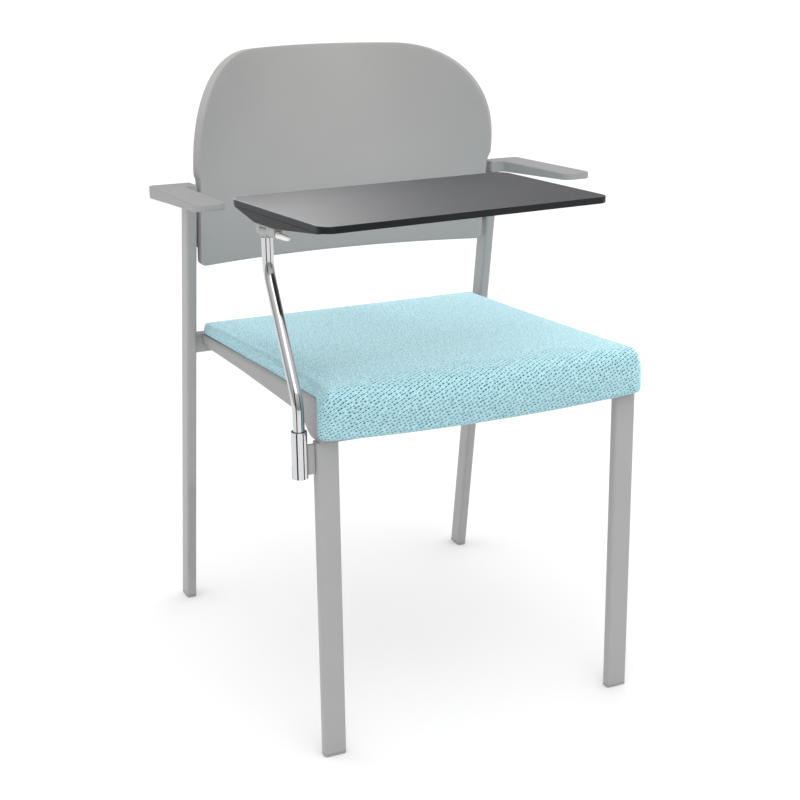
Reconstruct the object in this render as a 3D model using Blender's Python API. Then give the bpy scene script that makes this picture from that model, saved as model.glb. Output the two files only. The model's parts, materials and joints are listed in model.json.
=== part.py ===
"""Chair with a writing tablet: tube frame, upholstered seat, curved back, arms and a swivelling tablet.

Metres, +Z up. The sitter faces -Y, X = 0 is the middle of the chair, and the tablet's stem is at -X.
"""
import math

import bmesh
import bpy
from mathutils import Matrix, Vector

for old in list(bpy.data.objects):
    bpy.data.objects.remove(old, do_unlink=True)

# Fits
FIT = 0.0003                # gap left between pieces that touch
RUNNING_FIT = 0.00025       # gap round the stem where it turns in its bush
CUT_OVER = 0.020            # how far a cutter runs past the face that it opens

# Tubes of the frame
TUBE_LONG = 0.030
TUBE_SHORT = 0.015
TUBE_CORNER = 0.004
TUBE_WALL = 0.0015

# Plan of the frame
FRONT_LEG_Y = -0.2577
LEG_BASE = 0.5566           # front leg axis to the middle of the rear foot
CLEAR_WIDTH = 0.4626        # between the inner faces of the rear posts
POST_LEAN = 0.1758          # how far a rear post comes forward for each metre up
LEG_HEIGHT = 0.430          # the heights of the seat, arms, back and tablet are above this
LEG_STEP_OUT = 0.004        # front leg's outer face beyond the seat pan's side

# Feet
FOOT_FLANGE = 0.004
FOOT_SPIGOT = 0.018
FOOT_CHAMFER = 0.001

# Rails under the seat
SIDE_RAIL_WIDTH = 0.025
SIDE_RAIL_HEIGHT = 0.015
SIDE_RAIL_DROP = 0.0007     # underside of a side rail at its rear end, below the front leg's top
SIDE_RAIL_TILT = math.radians(2.805)
REAR_RAIL_RISE = 0.005      # front leg's top to the middle of the rear cross rail

# Seat pan
SEAT_SIDE_GAP = 0.0083      # rear post to the pan's side
PAN_REAR_GAP = 0.0076       # pan's rear edge to the rear cross rail
PAN_TILT = math.radians(4.272)
PAN_FRONT_GAP = 0.001       # front cross rail to the inside of the pan
PAN_NOSE = 0.020
PAN_SHEET = 0.0035
PAN_WALL = 0.003
PAN_SHOULDER = 0.005
SKIRT_REAR = 0.010
SKIRT_FRONT = 0.029
KNEE_START = 0.060          # behind the front leg axis, where the skirt begins to drop
KNEE_END = 0.018

# Seat cushion
CUSHION_RIM = 0.0152
CUSHION_CROWN = 0.004
CUSHION_INSET = 0.0025
CUSHION_FLARE = 0.0075      # how much wider each side is round the front
CUSHION_DRAW = 0.0020       # how far its sides draw in between the corners
CUSHION_EDGE = 0.014        # how far the rounded edges run in from the sides
CUSHION_REAR_ROUND = 0.0028
CUSHION_FRONT_ROUND = 0.012
EDGE_POWER = 2.6

# Seat screws
SEAT_SCREW_FRONT = 0.100    # behind the front leg axis
SEAT_SCREW_REAR = 0.135     # ahead of the pan's rear edge
SEAT_SCREW_BITE = 0.005
BOSS_RADIUS = 0.007

# Screws
SCREW_RADIUS = 0.002
SCREW_HEAD_RADIUS = 0.004
SCREW_CROWN_RADIUS = 0.0028
SCREW_HEAD = 0.0024

# Back
BACK_RISE = 0.125           # front leg's top to the back's lower edge
BACK_HEIGHT = 0.2985
BACK_SETBACK = 0.0207       # post axis to the middle of the front face, at the bottom edge
BACK_LEAN = 0.195
BACK_LEAN_GAIN = 0.083      # growth of the lean up the back, for each metre
BACK_WRAP = 0.035           # how far the side edges come forward at the bottom
BACK_WRAP_GAIN = 0.348      # and how much more for each metre up
BACK_THICK = 0.012
BACK_EDGE_GAP = 0.0004      # back's rear corner to the post, at the arms
BACK_FLARE = 0.0035         # how much each side widens above the arms
FLARE_RUN = 0.045
BACK_CORNER_X = 0.122
BACK_CORNER_Z = 0.158
BACK_CORNER_POWER = 2.3
BACK_FOOT_CORNER = 0.008
BRACKET_HEIGHT = 0.050
BRACKET_REACH = 0.040
BRACKET_THICK = 0.003
BACK_SCREW_SPREAD = 0.030
BACK_SCREW_INSET = 0.024    # from the post's inner face
BACK_SCREW_BITE = 0.007

# Arms
ARM_RISE = 0.246            # front leg's top to the top of an arm at its rear edge
ARM_TILT = math.radians(2.662)
ARM_REAR_THICK = 0.018
ARM_FRONT_THICK = 0.0095
ARM_LENGTH = 0.2285
ARM_WIDTH = 0.0425
ARM_STEP_OUT = 0.0185       # arm's inner side beyond the post's inner face
ARM_REAR_COVER = 0.004      # arm behind the post
ARM_NECK_COVER = 0.003      # arm in front of the post
ARM_FRONT_CORNER = 0.013
ARM_REAR_CORNER = 0.008
ARM_INNER_CORNER = 0.008
ARM_SMALL_CORNER = 0.0005   # beyond the rounding of the edge
ARM_EDGE = 0.002
POST_SOCKET = 0.010         # depth of the post's pocket in the arm

# Socket and stem of the tablet
STEM_RADIUS = 0.00725
STEM_WALL = 0.0015
STEM_OFFSET = 0.090         # how far the stem leans back
STEM_LOW_RUN = 0.035        # sleeve top to the lower bend
STEM_TOP_RUN = 0.0415       # upper bend to the stem's top
STEM_BEND = 0.060
BUSH_WALL = 0.0007
SLEEVE_WALL = 0.0015
SLEEVE_DROP = 0.043         # front leg's top to the sleeve's lower end
SLEEVE_LENGTH = 0.060
SLEEVE_STAND_OFF = 0.009    # leg's outer face to the sleeve
SOCKET_PLUG = 0.004
PLATE_THICK = 0.005
PLATE_LIFT = 0.003          # sleeve's lower end to the plate's
PLATE_HEIGHT = 0.038
SLOT_HEIGHT = 0.0075
SLOT_COVER = 0.009          # sleeve left whole above the slot
STOP_REST = math.radians(150)       # where the stop pin points at rest, from +X
SWIVEL_OUT = math.radians(160)
SWIVEL_IN = math.radians(8)
STOP_RADIUS = 0.002
STOP_DEPTH = 0.003
STOP_SINK = 0.0002          # stop pin's end below the sleeve's surface

# Tablet and its hinge
TABLET_RISE = 0.2748        # front leg's top to the writing face, above the hinge axis
TABLET_TURN = math.radians(9)
TABLET_DROOP = math.radians(1.15)   # how far the free end hangs below level
TABLET_WIDTH = 0.425
TABLET_DEPTH = 0.232
TABLET_REAR = 0.0825        # stem axis to the rear edge
TABLET_SIDE = 0.0084        # stem axis to the side edge
BOARD_THICK = 0.0085
BOARD_CORNER = 0.017
BOARD_EDGE = 0.002
SUPPORT_DEPTH = 0.0125
SUPPORT_INSET = 0.014       # support's ends inside the board's edges
SUPPORT_SIDE_INSET = 0.0006
SUPPORT_FLAT_REAR = 0.0185
SUPPORT_FLAT_FRONT = 0.033
SUPPORT_FLAT_WIDTH = 0.042
SUPPORT_WIDTH = 0.066
SUPPORT_LIP = 0.0012        # depth left at the support's ends
SUPPORT_EDGE = 0.0010
LEAF_THICK = 0.0023
LEAF_WIDTH = 0.036
LEAF_LIFT = 0.0004
KNUCKLE_RADIUS = 0.0055
HEAD_LENGTH = 0.016
KNUCKLE_REAR = 0.0095
KNUCKLE_FRONT = 0.020
HEAD_NECK = 0.0062
HEAD_SPIGOT = 0.010
PIN_RADIUS = 0.0025
PIN_HEAD_RADIUS = 0.004
PIN_HEAD = 0.0015
PIN_SHORT = 0.006           # front knuckle's bore that the pin leaves to the knob
LEAF_SCREW_X = 0.030
LEAF_SCREW_SPREAD = 0.034
LEAF_SCREW_BITE = 0.006
TABLET_SCREW_REAR = 0.050   # from the stem axis
TABLET_SCREW_FRONT = 0.080
TABLET_SCREW_SIDE = 0.010   # from the support's sides
TABLET_SCREW_SINK = 0.0030  # board's underside to the screw head's seat
TABLET_SCREW_BITE = 0.005

# Release knob
KNOB_FLANGE_RADIUS = 0.0044
KNOB_FLANGE = 0.002
KNOB_NECK_RADIUS = 0.0028
KNOB_NECK = 0.003
KNOB_RADIUS = 0.0038
KNOB_TIP_RADIUS = 0.0030
KNOB_LENGTH = 0.021
KNOB_SHANK = 0.005

# Fineness of round forms
CORNER_STEPS = 4
ROUND_STEPS = 24
SCREW_STEPS = 12
BEND_STEPS = 8
NOSE_STEPS = 8
KNEE_STEPS = 6
SEAT_STEPS = 18
FRONT_STEPS = 5
END_CROWDING = 1.8          # how much the cushion's sections crowd towards its ends
CUSHION_EDGE_STEPS = 6
CUSHION_COLUMNS = 14
BACK_COLUMNS = 24
BACK_ROWS = 6
BACK_CORNER_STEPS = 11
FOOT_CORNER_STEPS = 3
BRACKET_STEPS = 4
SLOT_STEPS = 24
EDGE_STEPS = 2
SHOULDER_STEPS = 3
SMOOTH_ANGLE = math.radians(32)

# Finishes: colour, roughness, metallic
FRAME_PAINT = ((0.42, 0.42, 0.42), 0.45, 0.35)
GREY_PLASTIC = ((0.47, 0.47, 0.47), 0.55, 0.0)
SEAT_FABRIC = ((0.42, 0.68, 0.74), 0.95, 0.0)
TABLET_FINISH = ((0.055, 0.056, 0.060), 0.35, 0.0)
BLACK_PLASTIC = ((0.020, 0.020, 0.022), 0.45, 0.0)
WHITE_PLASTIC = ((0.80, 0.80, 0.78), 0.40, 0.0)
CHROME = ((0.72, 0.73, 0.75), 0.12, 1.0)
ZINC = ((0.55, 0.56, 0.57), 0.35, 1.0)

# Places worked out from the sizes above
HALF_CLEAR = CLEAR_WIDTH / 2
POST_X = HALF_CLEAR + TUBE_SHORT / 2
POST_DEPTH = TUBE_LONG * math.hypot(1, POST_LEAN)
PAN_HALF = HALF_CLEAR - SEAT_SIDE_GAP
LEG_X = PAN_HALF + LEG_STEP_OUT - TUBE_LONG / 2
REAR_FOOT_Y = FRONT_LEG_Y + LEG_BASE
SIDE_RAIL_REAR_Z = LEG_HEIGHT - SIDE_RAIL_DROP
REAR_RAIL_Z = LEG_HEIGHT + REAR_RAIL_RISE
FRONT_RAIL_HALF = PAN_HALF - PAN_WALL - FIT
SIDE_RAIL_X = FRONT_RAIL_HALF - SIDE_RAIL_WIDTH / 2
SIDE_RAIL_FRONT_Y = FRONT_LEG_Y + TUBE_SHORT / 2 + FIT
REAR_RAIL_Y = REAR_FOOT_Y - POST_LEAN * REAR_RAIL_Z
SIDE_RAIL_REAR_Y = REAR_RAIL_Y - TUBE_SHORT / 2 - FIT
PAN_REAR_Y = REAR_RAIL_Y - TUBE_SHORT / 2 - PAN_REAR_GAP
PAN_FRONT_Y = FRONT_LEG_Y - TUBE_SHORT / 2 - PAN_FRONT_GAP - PAN_SHEET
PAN_SLOPE = math.tan(PAN_TILT)
PAN_STRETCH = math.hypot(1, PAN_SLOPE)
SIDE_RAIL_SLOPE = math.tan(SIDE_RAIL_TILT)
RAIL_STRETCH = math.hypot(1, SIDE_RAIL_SLOPE)
BACK_BOTTOM = LEG_HEIGHT + BACK_RISE
BACK_TOP = BACK_BOTTOM + BACK_HEIGHT
ARM_TOP = LEG_HEIGHT + ARM_RISE
ARM_SLOPE = math.tan(ARM_TILT)
ARM_UNDER = ARM_TOP - ARM_REAR_THICK
POST_TOP = ARM_UNDER + POST_SOCKET
BUSH_INNER = STEM_RADIUS + RUNNING_FIT
SLEEVE_INNER = BUSH_INNER + BUSH_WALL + FIT
SLEEVE_RADIUS = SLEEVE_INNER + SLEEVE_WALL
SLEEVE_BASE = LEG_HEIGHT - SLEEVE_DROP
SLEEVE_TOP = SLEEVE_BASE + SLEEVE_LENGTH
PLATE_BASE = SLEEVE_BASE + PLATE_LIFT
SLOT_BASE = SLEEVE_TOP - SLOT_COVER - SLOT_HEIGHT
STEM_X = -(LEG_X + TUBE_LONG / 2 + SLEEVE_STAND_OFF + SLEEVE_RADIUS)
SUPPORT_TOP = KNUCKLE_RADIUS + LEAF_LIFT + LEAF_THICK + FIT + SUPPORT_DEPTH
BOARD_UNDER = SUPPORT_TOP + FIT
HINGE_Z = LEG_HEIGHT + TABLET_RISE - BOARD_THICK - BOARD_UNDER
STEM_TOP = HINGE_Z - HEAD_NECK - FIT
KNUCKLE_FRONT_Y = -HEAD_LENGTH / 2 - FIT - KNUCKLE_FRONT
KNUCKLE_REAR_Y = HEAD_LENGTH / 2 + FIT + KNUCKLE_REAR


def post_y(z):
    """Y of a rear post's axis at height z."""
    return REAR_FOOT_Y - POST_LEAN * z


def rail_under(y):
    """Height of a side rail's underside at y."""
    return SIDE_RAIL_REAR_Z + SIDE_RAIL_SLOPE * (SIDE_RAIL_REAR_Y - y)


PAN_REAR_TOP = rail_under(PAN_REAR_Y) + SIDE_RAIL_HEIGHT + FIT + PAN_SHEET * PAN_STRETCH


def pan_top(y):
    """Height of the pan's upper face at y, ahead of the rear edge."""
    return PAN_REAR_TOP + PAN_SLOPE * (PAN_REAR_Y - y)


# Building blocks

def place(name, bm, finish, parent=None):
    """Turn a bmesh into a named object with its own material."""
    bmesh.ops.recalc_face_normals(bm, faces=bm.faces)
    mesh = bpy.data.meshes.new(name)
    bm.to_mesh(mesh)
    bm.free()
    mesh.shade_smooth()
    mesh.set_sharp_from_angle(angle=SMOOTH_ANGLE)
    piece = bpy.data.objects.new(name, mesh)
    bpy.context.scene.collection.objects.link(piece)
    piece.parent = parent
    if finish:
        colour, roughness, metallic = finish
        material = bpy.data.materials.new(name + "_finish")
        material.use_nodes = True
        shader = material.node_tree.nodes["Principled BSDF"]
        shader.inputs["Base Color"].default_value = (*colour, 1)
        shader.inputs["Roughness"].default_value = roughness
        shader.inputs["Metallic"].default_value = metallic
        mesh.materials.append(material)
    return piece


def helper(name, bm, parent=None):
    """An object that only shapes others and isn't a piece."""
    piece = place(name, bm, None, parent)
    piece.hide_render = True
    piece.display_type = "WIRE"
    return piece


def combine(piece, tool, operation):
    """Cut a helper out of a piece, or join it on."""
    step = piece.modifiers.new(tool.name, "BOOLEAN")
    step.operation = operation
    step.object = tool
    step.solver = "EXACT"


def pivot(name, location, turn=(0, 0, 0), parent=None):
    """An empty on a joint's axis."""
    empty = bpy.data.objects.new(name, None)
    bpy.context.scene.collection.objects.link(empty)
    empty.location = location
    empty.rotation_euler = turn
    empty.parent = parent
    return empty


def arc(centre, radius, start, end, steps):
    """Points on an arc, ends included."""
    angles = (start + (end - start) * i / steps for i in range(steps + 1))
    return [(centre[0] + radius * math.cos(a), centre[1] + radius * math.sin(a)) for a in angles]


def circle(radius, steps):
    """Points round a circle."""
    return arc((0, 0), radius, 0, math.tau * (1 - 1 / steps), steps - 1)


def rounded_box(width, depth, corner):
    """Outline of a tube or board: a rectangle about the origin with round corners."""
    points = []
    for quarter, (sx, sy) in enumerate(((1, 1), (-1, 1), (-1, -1), (1, -1))):
        centre = (sx * (width / 2 - corner), sy * (depth / 2 - corner))
        start = quarter * math.pi / 2
        points += arc(centre, corner, start, start + math.pi / 2, CORNER_STEPS)
    return points


def rounding(before, here, after, radius, steps):
    """Points of the arc that rounds the corner at here."""
    back, ahead = (before - here).normalized(), (after - here).normalized()
    half = back.angle(ahead) / 2
    centre = here + (back + ahead).normalized() * (radius / math.sin(half))
    start = here + back * (radius / math.tan(half)) - centre
    sweep = start.angle_signed(here + ahead * (radius / math.tan(half)) - centre)
    return [centre + Matrix.Rotation(-sweep * k / steps, 2) @ start for k in range(steps + 1)]


def filleted(corners):
    """Closed outline through corners (x, y, radius), each rounded by an arc."""
    places = [Vector(corner[:2]) for corner in corners]
    points = []
    for i, here in enumerate(places):
        after = places[(i + 1) % len(places)]
        points += rounding(places[i - 1], here, after, corners[i][2], CORNER_STEPS)
    return points


def skin(bm, rings, closed_ends=True):
    """Join rings of equal length into a wall, and cap its ends."""
    loops = [[bm.verts.new(point) for point in ring] for ring in rings]
    for low, high in zip(loops, loops[1:]):
        for i in range(len(low)):
            bm.faces.new((low[i - 1], low[i], high[i], high[i - 1]))
    if closed_ends:
        bm.faces.new(loops[0])
        bm.faces.new(loops[-1])
    return loops


def hollow(bm, outer, inner):
    """A tube with open ends, from rings of its outside and of its bore."""
    outside = skin(bm, outer, closed_ends=False)
    inside = skin(bm, inner, closed_ends=False)
    for end in (0, -1):
        a, b = outside[end], inside[end]
        for i in range(len(a)):
            bm.faces.new((a[i - 1], a[i], b[i], b[i - 1]))


def level_ring(section, centre):
    """A section laid flat at centre."""
    x, y, z = centre
    return [(x + a, y + b, z) for a, b in section]


def slab(bm, outline, low, high, edge):
    """A plate with rounded rims: outline(inset) is its shape from above, low(y) and high(y) are its faces."""
    under, over = [], []
    for i in range(EDGE_STEPS + 1):
        angle = math.pi / 2 * i / EDGE_STEPS
        shape, sunk = outline(edge * (1 - math.cos(angle))), edge * (1 - math.sin(angle))
        under.append([(x, y, low(y) + sunk) for x, y in shape])
        over.append([(x, y, high(y) - sunk) for x, y in shape])
    skin(bm, under[::-1] + over)


def prism_x(bm, outline, low, high):
    """A (y, z) outline drawn out along X."""
    return skin(bm, [[(x, y, z) for y, z in outline] for x in (low, high)])


def prism_y(bm, outline, low, high):
    """An (x, z) outline drawn out along Y."""
    return skin(bm, [[(x, y, z) for x, z in outline] for y in (low, high)])


def turned(bm, profile, steps, frame=Matrix()):
    """A round solid from (radius, height) pairs along the Z axis of frame."""
    rings = []
    for radius, height in profile:
        rings.append([frame @ Vector((x, y, height)) for x, y in circle(radius, steps)])
    skin(bm, rings)


def facing(origin, direction):
    """A frame at origin whose Z axis points along direction."""
    turn = Vector(direction).to_track_quat("Z", "Y").to_matrix().to_4x4()
    return Matrix.Translation(origin) @ turn


def screw(name, frame, length, parent=None):
    """A screw whose head's seat is at the frame's origin and whose shank runs up its Z axis."""
    bm = bmesh.new()
    turned(bm, [(SCREW_CROWN_RADIUS, -SCREW_HEAD), (SCREW_HEAD_RADIUS, -SCREW_HEAD / 2),
                (SCREW_HEAD_RADIUS, -FIT), (SCREW_RADIUS, -FIT), (SCREW_RADIUS, length)],
           SCREW_STEPS, frame)
    place(name, bm, ZINC, parent)


def screw_hole(bm, frame, low, high):
    """The clearance hole of a screw."""
    turned(bm, [(SCREW_RADIUS + FIT, low), (SCREW_RADIUS + FIT, high)], SCREW_STEPS, frame)


# Frame

def leg_sections(wide, deep):
    """Outside, bore and spigot outlines of an upright tube."""
    bore_corner = TUBE_CORNER - TUBE_WALL
    bore = rounded_box(wide - 2 * TUBE_WALL, deep - 2 * TUBE_WALL, bore_corner)
    spigot = rounded_box(wide - 2 * (TUBE_WALL + FIT), deep - 2 * (TUBE_WALL + FIT), bore_corner - FIT)
    tread = rounded_box(wide - 2 * FOOT_CHAMFER, deep - 2 * FOOT_CHAMFER, TUBE_CORNER - FOOT_CHAMFER)
    return rounded_box(wide, deep, TUBE_CORNER), bore, spigot, tread


def upright(leg_name, foot_name, wide, deep, axis, top):
    """A leg or post, cut level at the floor, with the plug that it stands on."""
    outside, bore, spigot, tread = leg_sections(wide, deep)
    ends = [axis(FOOT_FLANGE + FIT), axis(top)]
    bm = bmesh.new()
    hollow(bm, [level_ring(outside, end) for end in ends], [level_ring(bore, end) for end in ends])
    leg = place(leg_name, bm, FRAME_PAINT)
    bm = bmesh.new()
    skin(bm, [level_ring(tread, axis(0)), level_ring(outside, axis(FOOT_CHAMFER)),
              level_ring(outside, axis(FOOT_FLANGE)), level_ring(spigot, axis(FOOT_FLANGE)),
              level_ring(spigot, axis(FOOT_FLANGE + FOOT_SPIGOT))])
    place(foot_name, bm, GREY_PLASTIC)
    return leg


def front_leg(side, sign):
    def axis(z):
        return sign * LEG_X, FRONT_LEG_Y, z
    upright("front_leg_" + side, "front_foot_" + side, TUBE_LONG, TUBE_SHORT, axis, LEG_HEIGHT)


def rear_post(side, sign):
    def axis(z):
        return sign * POST_X, post_y(z), z
    return upright("rear_post_" + side, "rear_foot_" + side, TUBE_SHORT, POST_DEPTH, axis, POST_TOP)


def cross_rail(name, half, y, low, high):
    """A tube across the chair, between heights low and high."""
    middle = (low + high) / 2
    sections = []
    for wall, corner in ((0, TUBE_CORNER), (TUBE_WALL, TUBE_CORNER - TUBE_WALL)):
        outline = rounded_box(TUBE_SHORT - 2 * wall, high - low - 2 * wall, corner)
        sections.append([[(x, y + a, middle + b) for a, b in outline] for x in (-half, half)])
    bm = bmesh.new()
    hollow(bm, *sections)
    place(name, bm, FRAME_PAINT)


def seat_screw_frames(sign):
    """Labels and frames of the two screws of one side, square to the rail's underside."""
    for label, y in (("front", FRONT_LEG_Y + SEAT_SCREW_FRONT), ("rear", PAN_REAR_Y - SEAT_SCREW_REAR)):
        yield label, facing((sign * SIDE_RAIL_X, y, rail_under(y)), (0, SIDE_RAIL_SLOPE, 1))


def side_rail(side, sign):
    sections = []
    for wall, corner in ((0, TUBE_CORNER), (TUBE_WALL, TUBE_CORNER - TUBE_WALL)):
        outline = rounded_box(SIDE_RAIL_WIDTH - 2 * wall, SIDE_RAIL_HEIGHT - 2 * wall, corner)
        rings = []
        for y in (SIDE_RAIL_FRONT_Y, SIDE_RAIL_REAR_Y):
            middle = rail_under(y) + SIDE_RAIL_HEIGHT / 2
            rings.append([(sign * SIDE_RAIL_X + a, y, middle + b) for a, b in outline])
        sections.append(rings)
    bm = bmesh.new()
    hollow(bm, *sections)
    rail = place("side_rail_" + side, bm, FRAME_PAINT)
    bm = bmesh.new()
    for label, frame in seat_screw_frames(sign):
        screw_hole(bm, frame, -CUT_OVER, CUT_OVER)
        length = SIDE_RAIL_HEIGHT / RAIL_STRETCH + FIT + SEAT_SCREW_BITE
        screw("seat_screw_" + label + "_" + side, frame, length)
    combine(rail, helper("side_rail_holes_" + side, bm), "DIFFERENCE")


# Seat

def seat_profile(inset, rear_y):
    """The pan's (y, z) line from its rear edge over the nose to the bottom of the front."""
    centre_y = PAN_FRONT_Y + PAN_NOSE
    centre = (centre_y, pan_top(centre_y) - PAN_NOSE * PAN_STRETCH)
    crown = math.pi / 2 - math.atan(PAN_SLOPE)
    nose = arc(centre, PAN_NOSE - inset, crown, math.pi, NOSE_STEPS)
    rear = (rear_y, pan_top(rear_y) - inset * PAN_STRETCH)
    return [rear] + nose + [(PAN_FRONT_Y + inset, LEG_HEIGHT + FIT)]


def pan_underline():
    """The lower edge of the pan's sides, from the front leg back: a drop at the knee, then a taper."""
    knee_y = FRONT_LEG_Y + KNEE_START
    knee_z = pan_top(knee_y) - SKIRT_FRONT
    low_y, low_z = FRONT_LEG_Y + KNEE_END, LEG_HEIGHT + FIT
    line = []
    for i in range(KNEE_STEPS + 1):
        share = i / KNEE_STEPS
        rise = (1 - math.cos(math.pi * share)) / 2
        line.append((low_y + (knee_y - low_y) * share, low_z + (knee_z - low_z) * rise))
    return line + [(PAN_REAR_Y, PAN_REAR_TOP - SKIRT_REAR)]


def seat_pan():
    sections = []
    for i in range(SHOULDER_STEPS + 1):
        angle = math.pi / 2 * i / SHOULDER_STEPS
        x = PAN_HALF - PAN_SHOULDER * (1 - math.sin(angle))
        outline = seat_profile(PAN_SHOULDER * (1 - math.cos(angle)), PAN_REAR_Y) + pan_underline()
        sections.append((x, outline))
    mirrored = [(-x, outline) for x, outline in reversed(sections)]
    bm = bmesh.new()
    skin(bm, [[(x, y, z) for y, z in outline] for x, outline in mirrored + sections])
    pan = place("seat_pan", bm, GREY_PLASTIC)

    behind = PAN_REAR_Y + CUT_OVER
    cavity = seat_profile(PAN_SHEET, behind)
    cavity[-1] = (cavity[-1][0], LEG_HEIGHT - CUT_OVER)
    bm = bmesh.new()
    inside = PAN_HALF - PAN_WALL
    prism_x(bm, cavity + [(behind, LEG_HEIGHT - CUT_OVER)], -inside, inside)
    combine(pan, helper("seat_pan_cavity", bm), "DIFFERENCE")

    bosses, holes = bmesh.new(), bmesh.new()
    for sign in (-1, 1):
        for _, frame in seat_screw_frames(sign):
            y = frame.translation.y
            seat = SIDE_RAIL_HEIGHT / RAIL_STRETCH + FIT
            top = (pan_top(y) - frame.translation.z) / RAIL_STRETCH - PAN_SHEET / 2
            turned(bosses, [(BOSS_RADIUS, seat), (BOSS_RADIUS, top)], ROUND_STEPS, frame)
            screw_hole(holes, frame, -FIT, seat + SEAT_SCREW_BITE + FIT)
    combine(pan, helper("seat_pan_bosses", bosses), "UNION")
    combine(pan, helper("seat_pan_holes", holes), "DIFFERENCE")


def cushion_stations():
    """Points (y, z), outward directions and distances along the pan's line, rear to front."""
    rear, *nose, foot = seat_profile(-FIT, PAN_REAR_Y)
    rear, foot = Vector(rear), Vector(foot)
    nose = [Vector(point) for point in nose]
    top = [rear + (nose[0] - rear) * (i / SEAT_STEPS) ** END_CROWDING for i in range(SEAT_STEPS)]
    front = [foot + (nose[-1] - foot) * (i / FRONT_STEPS) ** END_CROWDING for i in range(FRONT_STEPS)]
    line = top + nose + front[::-1]
    stations, walked = [], 0.0
    for i, here in enumerate(line):
        ahead = line[min(i + 1, len(line) - 1)] - line[max(i - 1, 0)]
        outward = Vector((ahead.y, -ahead.x)).normalized()
        walked += (here - line[i - 1]).length if i else 0.0
        stations.append((here, outward if outward.y > -abs(outward.x) else -outward, walked))
    return stations


def cushion_section(wide, thick, crown):
    """Points (x, lift) over the padding: two rounded edges and a crowned middle."""
    edge = []
    for i in range(CUSHION_EDGE_STEPS + 1):
        angle = math.pi / 2 * i / CUSHION_EDGE_STEPS
        inward = 1 - math.cos(angle) ** (2 / EDGE_POWER)
        edge.append((wide - CUSHION_EDGE * inward, thick * math.sin(angle) ** (2 / EDGE_POWER)))
    flat = [(edge[-1][0] * (1 - 2 * i / CUSHION_COLUMNS), thick) for i in range(1, CUSHION_COLUMNS)]
    other = [(-x, lift) for x, lift in reversed(edge)]
    return [(x, lift + crown * (1 - (x / wide) ** 2)) for x, lift in edge + flat + other]


def seat_cushion():
    """Padding wrapped over the pan: a crowned top, rounded edges and sides that draw in."""
    stations = cushion_stations()
    total = stations[-1][2]
    rings = []
    for here, outward, walked in stations:
        thick = CUSHION_RIM
        wide = PAN_HALF - CUSHION_INSET + CUSHION_FLARE * max(-outward.x, 0)
        wide -= CUSHION_DRAW * math.sin(math.pi * walked / total)
        for left, rounding in ((walked, CUSHION_REAR_ROUND), (total - walked, CUSHION_FRONT_ROUND)):
            near = 1 - min(max(left, FIT) / rounding, 1)
            thick *= (1 - near ** EDGE_POWER) ** (1 / EDGE_POWER)
            wide -= rounding * (1 - (1 - near ** EDGE_POWER) ** (1 / EDGE_POWER))
        crown = CUSHION_CROWN * math.sin(math.pi * walked / total)
        ring = []
        for x, lift in cushion_section(wide, thick, crown):
            y, z = here + outward * lift
            ring.append((x, y, z))
        rings.append(ring)
    bm = bmesh.new()
    skin(bm, rings)
    place("seat_cushion", bm, SEAT_FABRIC)


# Back

def back_face(across, z):
    """The back's front face: a lean up the middle, with sides that wrap forward more towards the top."""
    up = z - BACK_BOTTOM
    middle = post_y(BACK_BOTTOM) + BACK_SETBACK + BACK_LEAN * up + BACK_LEAN_GAIN * up ** 2
    return middle - (BACK_WRAP + BACK_WRAP_GAIN * up) * across ** 2


def back_normal(across, z):
    """Direction from the front face into the back's thickness."""
    up = z - BACK_BOTTOM
    along_x = -2 * (BACK_WRAP + BACK_WRAP_GAIN * up) * across / BACK_HALF
    along_z = BACK_LEAN + 2 * BACK_LEAN_GAIN * up - BACK_WRAP_GAIN * across ** 2
    return Vector((-along_x, 1, -along_z)).normalized()


def back_waist():
    """Half the front face's width that leaves the rear corners clear of the posts at the arms."""
    lean_in = 2 * (BACK_WRAP + BACK_WRAP_GAIN * (ARM_TOP - BACK_BOTTOM)) / HALF_CLEAR
    return HALF_CLEAR - BACK_EDGE_GAP - BACK_THICK * lean_in / math.hypot(1, lean_in)


BACK_HALF = back_waist() - FIT


def back_point(x, z, depth):
    """A point at depth behind the front face."""
    across = x / BACK_HALF
    return Vector((x, back_face(across, z), z)) + back_normal(across, z) * depth


def back_rows():
    """Heights of the back's outline with half its width at each."""
    rows = []
    for i in range(FOOT_CORNER_STEPS + 1):
        angle = math.pi / 2 * i / FOOT_CORNER_STEPS
        rows.append((BACK_BOTTOM + BACK_FOOT_CORNER * (1 - math.cos(angle)),
                     BACK_HALF - BACK_FOOT_CORNER * (1 - math.sin(angle))))
    low, high = BACK_BOTTOM + BACK_FOOT_CORNER, BACK_TOP - BACK_CORNER_Z
    rows += [(low + (high - low) * i / BACK_ROWS, BACK_HALF) for i in range(1, BACK_ROWS)]
    for i in range(BACK_CORNER_STEPS + 1):
        angle = math.pi / 2 * i / BACK_CORNER_STEPS
        z = high + BACK_CORNER_Z * math.sin(angle) ** (2 / BACK_CORNER_POWER)
        inward = BACK_CORNER_X * (1 - max(math.cos(angle), 0) ** (2 / BACK_CORNER_POWER))
        share = min(max((z - ARM_TOP - FIT) / FLARE_RUN, 0), 1)
        rows.append((z, BACK_HALF + BACK_FLARE * share * share * (3 - 2 * share) - inward))
    return rows


def back_screw_frames(sign):
    """Labels and frames of one side's screws: seated behind the bracket, pointing forward."""
    middle = (BACK_BOTTOM + ARM_UNDER) / 2
    for label, up in (("lower", -BACK_SCREW_SPREAD / 2), ("upper", BACK_SCREW_SPREAD / 2)):
        x, z = sign * (HALF_CLEAR - BACK_SCREW_INSET), middle + up
        seat = back_point(x, z, BACK_THICK + FIT + BRACKET_THICK)
        yield label, facing(seat, -back_normal(x / BACK_HALF, z))


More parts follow.
